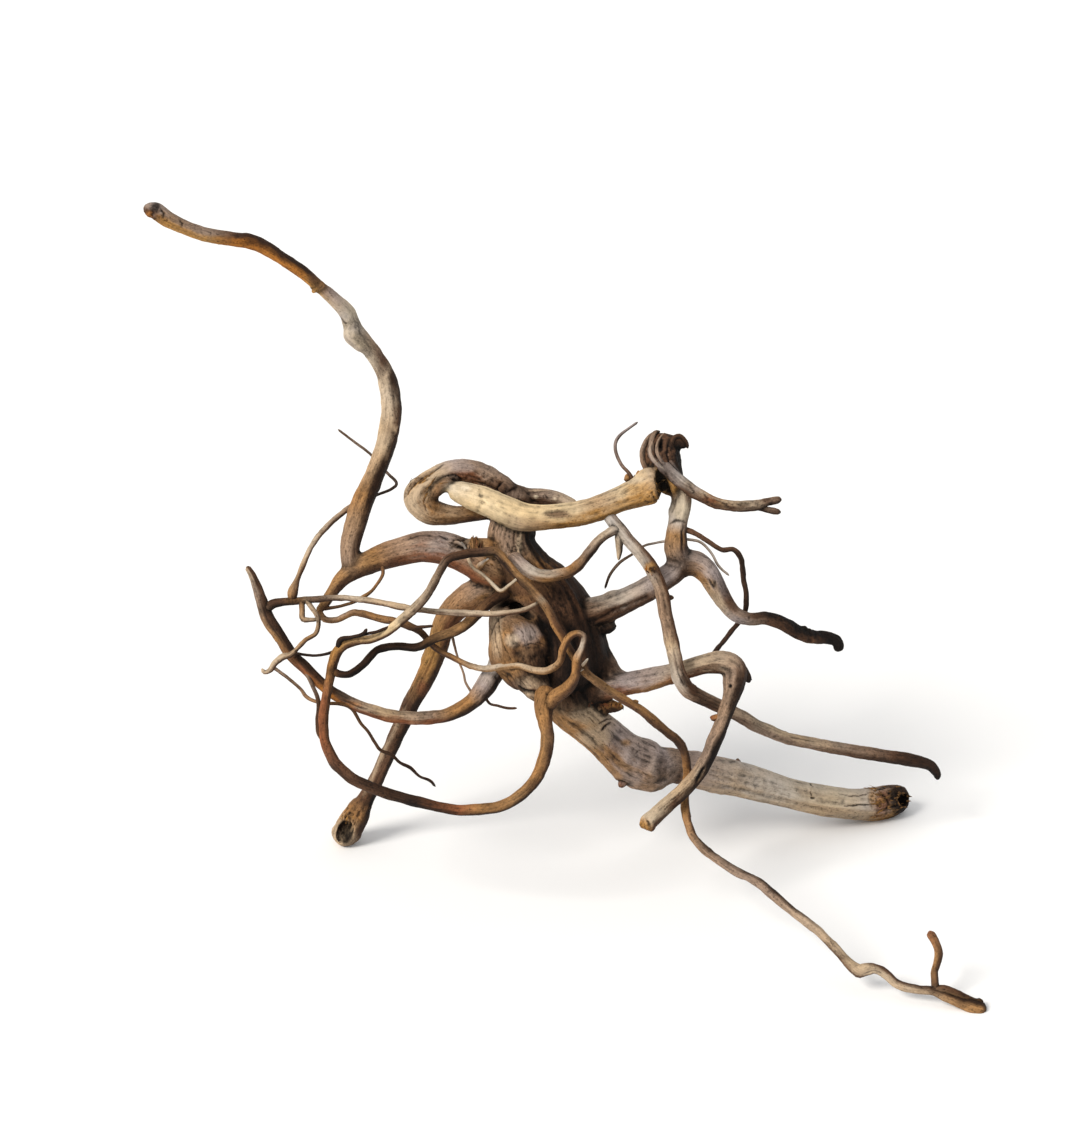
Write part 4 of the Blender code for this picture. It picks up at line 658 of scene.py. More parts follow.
class BogwoodSizes(bpy.types.PropertyGroup):
    """How finely the root is made, and how strongly its surface stands out"""

    fuse_cell: wood_length("Fusing cell", "Cell of the skin that fuses the stout roots", 0.75)
    stout_step: wood_length("Stout step", "Distance between points on a stout root", 0.9)
    thin_step: wood_length("Thin step", "Distance between the rings of a thin root", 1.1)
    thin_round: wood_length("Thin round", "Distance between points round a thin root", 0.62)
    lumps: wood_share("Lumps", "Broad unevenness, as a share of the half thickness", 0.075)
    flutes: wood_share("Flutes", "Ribs along the root, as a share of the half thickness", 0.07)
    fibres: wood_length("Fibres", "Height of the fine ribs of the grain", 0.13)
    nodes: wood_share("Nodes", "Height of the small knots, as a share of the half thickness", 0.2)
    sway: wood_share("Sway", "How far a root sways about its route, as a share of the same", 0.12)
    crease_reach: wood_length("Crease reach", "How far from a fork the skin is rounded", 2.6)
    skin_fibres: wood_length("Skin fibres", "Height of the fibres on the fused skin", 0.16)
    skin_dents: wood_length("Skin dents", "Height of the small dents on the skin", 0.20)
    # Painted shade on the faces turned away from the key light
    far_side_painted_shade: wood_share("Far side painted shade", "How much darker the wood is on its lower right faces", 0.5)
    thin_bark: wood_share("Bark on thin roots", "How strongly bark shows on thin roots", 0.45)
    stout_bark: wood_share("Bark on stout wood", "How strongly bark shows on stout wood", 0.16)
    bark_height: wood_length("Bark height", "How thick the bark is at full strength", 0.22)
    back_ribs: wood_length("Back ribs", "Height of the broad ribs on the back of the stump", 1.3)
    back_weather: wood_share("Back weather", "How grey and even the wood is on its back", 0.6)
    stout_faces: IntProperty(name="Stout faces", description="Triangles that the fused skin keeps",
                             default=194000)


class BogwoodStage(bpy.types.PropertyGroup):
    """The camera, the lights and the floor"""

    lens: FloatProperty(name="Lens", description="Focal length of the camera, in mm", default=100.0)
    key: FloatProperty(name="Key light", description="Strength of the soft light from the upper left",
                       default=2.7)
    key_spread: FloatProperty(name="Key spread", description="How wide the soft light looks from the root",
                              subtype="ANGLE", unit="ROTATION", default=math.radians(24.0))
    sky: FloatProperty(name="Sky", description="Strength of the pale light from all round", default=0.68)
    floor: FloatVectorProperty(name="Floor", description="Colour of the pale floor", subtype="COLOR",
                               size=3, min=0.0, max=1.0, default=(0.92, 0.92, 0.92))


class Line(NamedTuple):
    """A root's middle line, with a row for each ring.

    Places, half thicknesses and lengths are in metres, stations count the points of the route, and along,
    side and front are unit directions.
    """

    places: np.ndarray
    halves: np.ndarray
    stations: np.ndarray
    lengths: np.ndarray
    along: np.ndarray
    side: np.ndarray
    front: np.ndarray


def sheet_to_world(points):
    """Places in metres of (across, down, out) rows: each lies on the eye's line through its sheet point."""
    points = np.asarray(points, float)
    nearer = (EYE_DISTANCE - points[..., 2:3]) / EYE_DISTANCE
    right = (points[..., 0:1] - SHEET_MIDDLE[0]) * nearer
    up = (SHEET_MIDDLE[1] - points[..., 1:2]) * nearer
    return (right * SHEET_RIGHT + up * SHEET_UP + points[..., 2:3] * SHEET_OUT + SHEET_PLACE) * MM


def world_to_sheet(places):
    """The (across, down, out) rows of places in metres, the way back of sheet_to_world."""
    offset = places / MM - np.asarray(SHEET_PLACE)
    out = offset @ SHEET_OUT
    nearer = (EYE_DISTANCE - out) / EYE_DISTANCE
    across = SHEET_MIDDLE[0] + offset @ SHEET_RIGHT / nearer
    down = SHEET_MIDDLE[1] - offset @ SHEET_UP / nearer
    return np.column_stack([across, down, out])


def unit(rows):
    """Each row divided by its length."""
    return rows / np.maximum(np.linalg.norm(rows, axis=-1, keepdims=True), 1e-12)


def lattice(cell, seed):
    """One even number from -1 to 1 for each whole-number cell, mixed from its three parts and the seed."""
    a, b, c, d = MIXING_NUMBERS
    mixed = cell[..., 0] * a ^ cell[..., 1] * b ^ cell[..., 2] * c ^ seed * d
    mixed &= 0xFFFFFFFF
    mixed = (mixed ^ mixed >> 15) * 0x2C1B3C6D & 0xFFFFFFFF
    mixed = (mixed ^ mixed >> 12) * 0x297A2D39 & 0xFFFFFFFF
    return (mixed ^ mixed >> 15) / 2147483647.5 - 1.0


def ripple(points, seed):
    """Smooth noise from -1 to 1: the lattice's corner numbers blended by 6t^5 - 15t^4 + 10t^3."""
    cell = np.floor(points).astype(np.int64)
    part = points - cell
    part = part ** 3 * (part * (part * 6.0 - 15.0) + 10.0)
    total = np.zeros(points.shape[:-1])
    for corner in np.ndindex(2, 2, 2):
        weight = np.prod(np.where(np.array(corner) > 0, part, 1.0 - part), axis=-1)
        total += weight * lattice(cell + np.array(corner), seed)
    return total


def layered(points, seed, layers=3):
    """Ripples over each other, each half as wide and half as strong as the one before."""
    total = np.zeros(points.shape[:-1])
    for layer in range(layers):
        total += ripple(points * 2.0 ** layer, seed + layer) * 0.5 ** layer
    return total / (2.0 - 0.5 ** (layers - 1))


def along_grain(grain, wide, long, seed, layers=3):
    """Noise drawn out along the grain, with lumps so wide across it and so long along it, in mm."""
    return layered(grain / (np.array([wide, wide, long]) * MM), seed, layers)


def all_round(places, wide, seed, layers=3):
    """Noise with lumps so wide every way, in mm."""
    return layered(places / (wide * MM), seed, layers)


def eased(low, high, value):
    """0 below low, 1 above high and 3t^2 - 2t^3 between them."""
    t = np.clip((value - low) / (high - low), 0.0, 1.0)
    return t * t * (3.0 - 2.0 * t)


def curve_through(points, cuts):
    """A Catmull-Rom curve through the points, with the same number of cuts in each stretch.

    Between two points b and c with neighbours a and d it is half of
    2b + (c - a)t + (2a - 5b + 4c - d)t^2 + (3b - a - 3c + d)t^3.
    """
    ends = np.vstack([2 * points[0] - points[1], points, 2 * points[-1] - points[-2]])
    a, b, c, d = (ends[first:len(ends) - 3 + first, None] for first in range(4))
    t = np.linspace(0.0, 1.0, cuts, endpoint=False)[None, :, None]
    curve = 0.5 * (2 * b + (c - a) * t + (2 * a - 5 * b + 4 * c - d) * t ** 2
                   + (3 * b - a - 3 * c + d) * t ** 3)
    return np.vstack([curve.reshape(-1, points.shape[1]), points[-1]])


def root_line(route, step, seed=0, sway=0.0):
    """A smooth curve through the route's points, evened out to rings a step apart.

    Sway moves each ring aside by a smooth noise of its distance along the root.
    """
    route = np.asarray(route, float)
    halves = 0.5 * route[:, 3] * MM * (EYE_DISTANCE - route[:, 2]) / EYE_DISTANCE
    curve = curve_through(np.column_stack([sheet_to_world(route[:, :3]), halves]), CUTS_IN_STRETCH)
    station = np.arange(len(curve)) / CUTS_IN_STRETCH
    length = np.concatenate([[0.0], np.cumsum(np.linalg.norm(np.diff(curve[:, :3], axis=0), axis=1))])
    even = np.linspace(0.0, length[-1], max(4, round(length[-1] / step)) + 1)
    places = np.column_stack([np.interp(even, length, curve[:, axis]) for axis in range(3)])
    halves = np.maximum(np.interp(even, length, curve[:, 3]), THINNEST_HALF)
    along = unit(np.gradient(places, axis=0))
    side = unit(np.cross(along, SHEET_OUT))
    front = np.cross(side, along)
    if sway:
        turns = even / (halves.mean() * 5.0)
        for way, direction in enumerate((side, front)):
            waves = np.column_stack([turns, np.full(len(turns), 7.3 * way), np.zeros(len(turns))])
            places = places + (layered(waves, seed + way, 2) * halves * sway)[:, None] * direction
    return Line(places, halves, np.interp(even, length, station), even, along, side, front)


def lines_of(routes, step):
    """The line of every route, by its root's name."""
    return {name: root_line(route, step) for name, route in routes.items()}


def end_shape(line):
    """The share of the half thickness that each ring keeps, so that both ends are rounded over."""
    def rounded(distance, half):
        inward = np.clip(distance / (0.7 * half), 0.0, 1.0)
        return np.sqrt(1.0 - 0.8 * (1.0 - inward) ** 2)
    start = rounded(line.lengths, line.halves[0])
    return start * rounded(line.lengths[-1] - line.lengths, line.halves[-1])


def surface_relief(line, angles, seed, sizes):
    """How far each place round a root stands out, as a share of the half thickness.

    It is lumps about as wide as the root, flutes that run along it as ridges of 1 - |noise|, the fine
    ribs of the grain, and small knots, each a bump a(1 - d^2)^2 with a pit in its middle.
    """
    cosine, sine = np.cos(angles)[None, :], np.sin(angles)[None, :]
    half = line.halves[:, None]
    turns = np.cumsum(np.gradient(line.lengths) / line.halves)[:, None]
    flat = np.zeros_like(cosine + half)

    def noise(rounds, wave, number, layers=1):
        points = np.stack([cosine * rounds + flat, sine * rounds + flat, turns * wave + flat], axis=-1)
        return layered(points, seed + number, layers)

    relief = sizes.lumps * noise(0.9, 0.45, 1, 2) + sizes.flutes * noise(1.6, 0.10, 5)
    relief += sizes.flutes * (0.5 - np.abs(noise(2.4, 0.07, 9)) * 1.6)
    fine = np.stack([cosine * half / (0.9 * MM), sine * half / (0.9 * MM),
                     line.lengths[:, None] / (13.0 * MM) + flat], axis=-1)
    relief += sizes.fibres / half * layered(fine, seed + 20, 2)
    draw = np.random.default_rng(seed)
    for _ in range(int(line.lengths[-1] / (16.0 * MM))):
        where, turn = draw.uniform(0.0, line.lengths[-1]), draw.uniform(0.0, math.tau)
        wide, high = draw.uniform(0.35, 0.75), draw.uniform(0.4, 1.0) * sizes.nodes
        ahead = (line.lengths - where)[:, None] / half
        aside = (angles[None, :] - turn + math.pi) % math.tau - math.pi
        apart = (ahead ** 2 + aside ** 2) / wide ** 2
        relief += high * np.clip(1.0 - apart, 0.0, 1.0) ** 2
        relief -= 0.7 * high * np.clip(1.0 - apart * 9.0, 0.0, 1.0)
    return relief


def angles_round(sides):
    """So many angles, evenly round a ring."""
    return np.arange(sides) * math.tau / sides


def tube_faces(rings, sides):
    """The four-sided faces between the rings of a closed tube, and the triangles round its two poles."""
    number = np.arange(rings * sides).reshape(rings, sides)
    ahead = np.roll(number, -1, axis=1)
    quads = np.stack([number[:-1], number[1:], ahead[1:], ahead[:-1]], axis=-1).reshape(-1, 4)
    first, last = rings * sides, rings * sides + 1
    caps = np.vstack([np.column_stack([np.full(sides, first), number[0], ahead[0]]),
                      np.column_stack([np.full(sides, last), ahead[-1], number[-1]])])
    return quads, caps


def carried_ring(line, sides, relief):
    """A closed tube with two poles, ringed by place + half * (1 + relief) * (side cos a + front sin a)."""
    angles = angles_round(sides)
    spread = (line.halves * end_shape(line))[:, None] * (1.0 + relief)
    outward = (line.side[:, None] * np.cos(angles)[None, :, None]
               + line.front[:, None] * np.sin(angles)[None, :, None])
    skin = line.places[:, None] + spread[..., None] * outward
    poles = np.stack([line.places[0] - line.along[0] * line.halves[0] * 0.15,
                      line.places[-1] + line.along[-1] * line.halves[-1] * 0.15])
    return np.vstack([skin.reshape(-1, 3), poles]), *tube_faces(len(line.places), sides)


def mesh_object(name, places, quads, triangles):
    """A new mesh object from whole arrays of places, four-sided faces and triangles."""
    mesh = bpy.data.meshes.new(name)
    sizes = np.concatenate([np.full(len(quads), 4), np.full(len(triangles), 3)])
    corners = np.concatenate([np.ravel(quads), np.ravel(triangles)]).astype(np.int32)
    mesh.vertices.add(len(places))
    mesh.vertices.foreach_set("co", np.ravel(places).astype(np.float32))
    mesh.loops.add(len(corners))
    mesh.loops.foreach_set("vertex_index", corners)
    mesh.polygons.add(len(sizes))
    starts = np.concatenate([[0], np.cumsum(sizes)[:-1]])
    mesh.polygons.foreach_set("loop_start", starts.astype(np.int32))
    mesh.update(calc_edges=True)
    made = bpy.data.objects.new(name, mesh)
    bpy.context.scene.collection.objects.link(made)
    return made


def joined(parts):
    """Several (places, quads, triangles) as one."""
    offsets = np.cumsum([0] + [len(part[0]) for part in parts[:-1]])
    return (np.vstack([part[0] for part in parts]),
            np.vstack([part[1] + offset for part, offset in zip(parts, offsets)]),
            np.vstack([part[2] + offset for part, offset in zip(parts, offsets)]))


def apply_modifiers(thing):
    """Applies an object's modifiers."""
    evaluated = thing.evaluated_get(bpy.context.evaluated_depsgraph_get())
    mesh = bpy.data.meshes.new_from_object(evaluated)
    thing.modifiers.clear()
    thing.data = mesh


def combine(thing, others, operation):
    """Joins the object with the others, or cuts it by them."""
    group = bpy.data.collections.new(operation.lower())
    bpy.context.scene.collection.children.link(group)
    for other in others:
        bpy.context.scene.collection.objects.unlink(other)
        group.objects.link(other)
    before = len(thing.data.vertices)
    boolean = thing.modifiers.new(operation.lower(), "BOOLEAN")
    boolean.operation = operation
    boolean.solver = "MANIFOLD"
    boolean.operand_type = "COLLECTION"
    boolean.collection = group
    apply_modifiers(thing)
    if len(thing.data.vertices) == before:
        raise RuntimeError(f"The {operation.lower()} of {thing.name} changed nothing")
    for other in others:
        bpy.data.objects.remove(other)
    bpy.data.collections.remove(group)


def vertex_rows(mesh, what="co"):
    """The places or normals of a mesh's vertices, one row each."""
    rows = np.empty(len(mesh.vertices) * 3, np.float32)
    mesh.vertices.foreach_get(what, rows)
    return rows.reshape(-1, 3).astype(float)


def set_places(mesh, places):
    """Moves a mesh's vertices."""
    mesh.vertices.foreach_set("co", places.astype(np.float32).ravel())
    mesh.update()


def relaxed(mesh, places, weight, rounds):
    """Each place moves by its weight towards the mean of the places that it has an edge to."""
    edges = np.empty(len(mesh.edges) * 2, np.int32)
    mesh.edges.foreach_get("vertices", edges)
    here, there = edges.reshape(-1, 2).T
    both, other = np.concatenate([here, there]), np.concatenate([there, here])
    count = np.maximum(np.bincount(both, minlength=len(places)), 1)[:, None]
    for _ in range(rounds):
        total = np.column_stack([np.bincount(both, places[other, axis], len(places)) for axis in range(3)])
        places = places + weight[:, None] * (total / count - places)
    return places


class Skin(NamedTuple):
    """The roots that the places of a skin belong to.

    Owner is the number of a place's own root and crease how much nearer that one is than the next. Closeness
    holds, for each root, the places near it with their gap to it and their station on it.
    """

    owner: np.ndarray
    grain: np.ndarray
    crease: np.ndarray
    closeness: dict


def skin_of(places, lines):
    """Finds each place's own root: the one whose round surface it lies nearest to.

    The gap to a root is the distance to its nearest ring's middle less the half thickness there. A
    place's grain is its offset to the side and the front of that ring, and its distance along.
    """
    count, chunk, margin, mixing_gap = len(places), 20000, 6.0 * MM, 5.0 * MM
    owner, grain = np.full(count, -1), np.zeros((count, 3))
    best, second = np.full(count, 1.0), np.full(count, 1.0)
    closeness = {}
    for number, (name, line) in enumerate(lines.items()):
        reach = line.halves.max() + margin
        near = np.flatnonzero(np.all((places > line.places.min(axis=0) - reach)
                                     & (places < line.places.max(axis=0) + reach), axis=1))
        kept, gaps, stations = [near[:0]], [np.zeros(0)], [np.zeros(0)]
        pace = np.gradient(line.stations) / np.gradient(line.lengths)
        for part in np.array_split(near, len(near) // chunk + 1):
            spot = places[part]
            square = ((spot ** 2).sum(axis=1)[:, None] + (line.places ** 2).sum(axis=1)[None, :]
                      - 2.0 * spot @ line.places.T)
            away = np.sqrt(np.maximum(square, 0.0)) - line.halves[None, :]
            ring = away.argmin(axis=1)
            gap = away[np.arange(len(part)), ring]
            offset = spot - line.places[ring]
            ahead = (offset * line.along[ring]).sum(axis=1)
            here = line.stations[ring] + ahead * pace[ring]
            own = gap < best[part]
            second[part] = np.where(own, best[part], np.minimum(second[part], gap))
            mine = part[own]
            best[mine], owner[mine] = gap[own], number
            grain[mine] = np.column_stack([(offset * line.side[ring]).sum(axis=1),
                                           (offset * line.front[ring]).sum(axis=1),
                                           line.lengths[ring] + ahead])[own]
            grain[mine, 2] += number * 0.37
            close = gap < mixing_gap
            kept.append(part[close])
            gaps.append(gap[close])
            stations.append(here[close])
        closeness[name] = (np.concatenate(kept), np.concatenate(gaps), np.concatenate(stations))
    return Skin(owner, grain, second - best, closeness)


def distance_to_marks(sheet, points):
    """The distance on the sheet, in mm, of each place from a line of points, and how far along that is."""
    nearest, along = np.full(len(sheet), np.inf), np.zeros(len(sheet))
    for number, (start, end) in enumerate(zip(points[:-1], points[1:])):
        span = end - start
        share = np.clip((sheet - start) @ span / (span @ span), 0.0, 1.0)
        apart = np.linalg.norm(sheet - start - share[:, None] * span, axis=1)
        along = np.where(apart < nearest, (number + share) / (len(points) - 1), along)
        nearest = np.minimum(nearest, apart)
    return nearest, along


def marks_of(marks, lines):
    """The rows of a table of marks with their root's number, where the root is one of the lines."""
    numbers = {name: number for number, name in enumerate(lines)}
    return [(numbers[name], row) for name, rows in marks.items() if name in numbers for row in rows]


def strokes_of(lines):
    """Each stroke, as the numbers of the roots that it runs over, its four values and its points."""
    numbers = {name: number for number, name in enumerate(lines)}
    for name, strokes in STROKES.items():
        members = [numbers[root] for root in STROKE_GROUPS.get(name, (name,)) if root in numbers]
        for rise, width, tone, strength, *points in strokes if members else ():
            yield members, rise, width, tone, strength, np.reshape(points, (-1, 2))


def stroke_share(sheet, width, points):
    """How much of a stroke each place takes: exp(-(d / w)^2) of its distance d.

    The stroke swells as s = sin(pi t)^0.6 along its length t: its share is times s, its half width w is
    times 0.45 + 0.55 s, and noise as coarse as the stroke is wide makes it wander and fade.
    """
    coarse = max(1.0, 1.6 * width)
    flat = np.column_stack([sheet, np.zeros(len(sheet))]) / coarse
    wander = np.column_stack([layered(flat / 2.4, seed, 2) for seed in (83, 87)])
    apart, along = distance_to_marks(sheet + 0.35 * wander, curve_through(points, CUTS_IN_STROKE))
    swell = np.clip(np.sin(math.pi * along), 0.0, 1.0) ** 0.6
    taper = width * (0.45 + 0.55 * swell) * (1.0 + 0.25 * layered(flat / 1.6, seed=89, layers=2))
    return np.exp(-(apart / taper) ** 2) * swell * (0.75 + 0.25 * layered(flat / 3.0, seed=97, layers=2))


def round_share(sheet, across, down, width):
    """How much of a round mark each place takes: exp(-(d / width)^2) of its distance d on the sheet."""
    apart = np.linalg.norm(sheet - (across, down), axis=1)
    return np.exp(-(apart / width) ** 2)


def bark_share(skin, places):
    """Where flakes of bark are left, from 0 to 1: noise along the grain, cut off at its higher part."""
    flakes = along_grain(skin.grain, 2.6, 9.0, seed=101) + 0.5 * all_round(places, 14.0, seed=103)
    return eased(0.16, 0.30, flakes)


def carve(thing, skin, lines, sizes, bark):
    """Gives the skin its own relief, and cuts or raises the strokes, the knots and the rough places.

    Every place moves along its normal: by noise along the grain and noise all round, by rise * exp(-(d /
    width)^2) for a stroke or a knot, and by height * noise * exp(-(d / width)^2) for a rough place.
    """
    places, normals = vertex_rows(thing.data), vertex_rows(thing.data, "normal")
    sheet = world_to_sheet(places)[:, :2]
    facing = eased(-0.1, 0.35, normals @ SHEET_OUT)
    fibre = along_grain(skin.grain, 1.7, 15.0, seed=61, layers=2)
    dents = all_round(places, 3.6, seed=67, layers=2)
    rise = (sizes.skin_fibres * fibre + sizes.skin_dents * dents
            + bark * sizes.bark_height * bark_share(skin, places))
    for members, height, width, _, _, points in strokes_of(lines):
        own = np.flatnonzero(np.isin(skin.owner, members))
        rise[own] += height * MM * stroke_share(sheet[own], width, points) * facing[own]
    for number, (across, down, width, height) in marks_of(KNOTS, lines):
        own = np.flatnonzero(skin.owner == number)
        rise[own] += height * MM * round_share(sheet[own], across, down, width) * facing[own]
    for number, (across, down, width, height, lump) in marks_of(ROUGH_PLACES, lines):
        own = np.flatnonzero(skin.owner == number)
        rough = all_round(places[own], lump, seed=91) * (0.3 + 0.7 * facing[own])
        rise[own] += height * MM * round_share(sheet[own], across, down, width) * rough
    set_places(thing.data, places + rise[:, None] * normals)


def hollowness(mesh, places, normals, rounds):
    """How far, in mm, each place lies below the mean of its neighbours: positive in a groove."""
    settled = relaxed(mesh, places, np.ones(len(places)), rounds)
    return ((settled - places) * normals).sum(axis=1) / MM


def coat_colours_with_painted_shade(coats, station, normals, blend, colours):
    """The coat's two colours at each station, mixed by how far the face looks the coat's way."""
    stops = [coat[0] for coat in coats]
    tones = [[np.interp(station, stops, [getattr(colours, coat[which])[part] for coat in coats])
              for part in range(3)] for which in (1, 2)]
    near, far = (np.column_stack(tone) for tone in tones)
    right = np.interp(station, stops, [math.cos(math.radians(coat[3])) for coat in coats])
    up = np.interp(station, stops, [math.sin(math.radians(coat[3])) for coat in coats])
    way = unit(right[:, None] * SHEET_RIGHT + up[:, None] * SHEET_UP + 0.25 * SHEET_OUT)
    # Faces turned from the coat's way take its far colour, which is partly painted shade
    share = eased(-0.55, 0.55, (normals * way).sum(axis=1) + blend)[:, None]
    return far + share * (near - far)


def mixed(colour, share, tone):
    """Colours moved by their share of the way to a tone."""
    return colour + share[:, None] * (np.array(tone) - colour)


def paint(thing, lines, dark, context, bark):
    """Gives the skin its colour_and_painted_shade, grain and wear, which the wood material reads.

    Where roots meet, their coats are mixed by exp(-gap / 0.8 mm) of the gap to each, and a coat's far
    colour is partly painted shade. Then come the bark, the touches, the weathered back, the strokes,
    painted shade in the creases and grooves, ridges lighter partly as rubbed edges and partly as painted
    highlight, painted shade on the far side and painted shade inside the hollows.
    """
    colours, sizes = context.scene.bogwood_colours, context.scene.bogwood_sizes
    places, normals = vertex_rows(thing.data), vertex_rows(thing.data, "normal")
    fork_gap, crease_width, fine_groove, broad_groove = 0.8 * MM, 1.3 * MM, 0.09, 0.45
    skin = skin_of(places, lines)
    grain = skin.grain
    streaks = along_grain(grain, 1.5, 13.0, seed=31)
    clouds = all_round(places, 9.0, seed=47)
    tint = all_round(places, 17.0, seed=53)
    blend = 0.4 * streaks + 0.45 * clouds
    total, weights = np.zeros((len(places), 3)), np.full(len(places), 1e-9)
    for name, (near, gap, station) in skin.closeness.items():
        weight = np.exp(-gap / fork_gap)
        tone = coat_colours_with_painted_shade(COATS[name], station, normals[near], blend[near], colours)
        total[near] += weight[:, None] * tone
        weights[near] += weight
    colour = total / weights[:, None]
    colour *= 1.0 + tint[:, None] * np.array([0.10, 0.0, -0.16])
    colour = mixed(colour, bark * bark_share(skin, places), 0.45 * colour + 0.25 * np.array(colours.bark))
    sheet = world_to_sheet(places)
    facing = eased(-0.2, 0.3, normals @ SHEET_OUT)
    # Touches: the wood's own marks, and painted shade and painted highlights
    for number, (across, down, wide, high, tone, strength) in marks_of(TOUCHES, lines):
        own = np.flatnonzero(skin.owner == number)
        apart = np.hypot((sheet[own, 0] - across) / wide, (sheet[own, 1] - down) / high)
        share = strength * facing[own] * (1.0 - eased(0.4, 1.15, apart + 0.45 * blend[own]))
        colour[own] = mixed(colour[own], share, getattr(colours, tone))
    behind = sizes.back_weather * eased(0.0, 0.6, -normals @ SHEET_OUT) * (0.7 + 0.5 * clouds + 0.4 * streaks)
    colour = mixed(colour, np.clip(behind, 0.0, 1.0), colours.taupe)
    marked = np.zeros(len(places))
    # Strokes: cracks and marks of the wood, with painted shade in the deep cuts and painted highlights on lit
    # edges
    for members, _, width, tone, strength, points in strokes_of(lines):
        own = np.flatnonzero(np.isin(skin.owner, members))
        share = strength * stroke_share(sheet[own, :2], 0.95 * width, points) * facing[own]
        colour[own] = mixed(colour[own], share, getattr(colours, tone))
        marked[own] = np.maximum(marked[own], share)
    # Painted shade in the creases where roots meet and in the fine and broad grooves
    crease = np.exp(-(skin.crease / crease_width) ** 2)
    fine, broad = (hollowness(thing.data, places, normals, rounds) for rounds in (2, 10))
    groove = np.clip(fine / fine_groove, 0.0, 1.0) * 0.55 + np.clip(broad / broad_groove, 0.0, 1.0) * 0.35
    # Ridges a little lighter, partly as rubbed edges and partly as painted highlight
    ridge = np.clip(-fine / fine_groove, 0.0, 1.0) * 0.26
    away = normals @ unit(np.array(FAR_SIDE))
    shade = (1.0 - 0.35 * crease) * (1.0 + 0.15 * streaks) * (1.0 + 0.22 * clouds) * (1.0 - groove + ridge)
    # Painted shade on the far side, which faces away from the key light
    shade *= 1.0 - sizes.far_side_painted_shade * eased(0.1, 0.9, away + 0.2 * clouds)
    # Painted shade inside the hollows, towards black
    colour = mixed(colour * shade[:, None], dark, colours.black)
    # The colour with its painted shade and painted highlights, for the wood material
    store(thing.data, "colour_and_painted_shade", "FLOAT_COLOR", "color",
          np.column_stack([np.clip(colour, 0.0, 1.0), np.ones(len(colour))]))
    store(thing.data, "grain", "FLOAT_VECTOR", "vector", grain)
    # Where shade is painted in hollows and creases, and where strokes lie: a mask for the roughness
    shaded_and_marked = np.maximum(np.maximum(dark, marked), 0.6 * crease)
    store(thing.data, "roughness_mask", "FLOAT", "value", np.clip(shaded_and_marked, 0.0, 1.0))


def store(mesh, name, kind, field, rows):
    """Puts one row a vertex into a mesh attribute."""
    attribute = mesh.attributes.new(name, kind, "POINT")
    attribute.data.foreach_set(field, np.ravel(rows).astype(np.float32))


def smooth_shaded(mesh):
    """Shades every face smoothly."""
    mesh.polygons.foreach_set("use_smooth", np.ones(len(mesh.polygons), bool))
    mesh.update()


def node_kit(material):
    """Two short ways to add a node and to join two sockets."""
    tree = material.node_tree

    def add(kind, **settings):
        node = tree.nodes.new(kind)
        for key, value in settings.items():
            if key in node.inputs:
                node.inputs[key].default_value = value
            else:
                setattr(node, key, value)
        return node

    def join(start, end):
        tree.links.new(start, end)

    return add, join


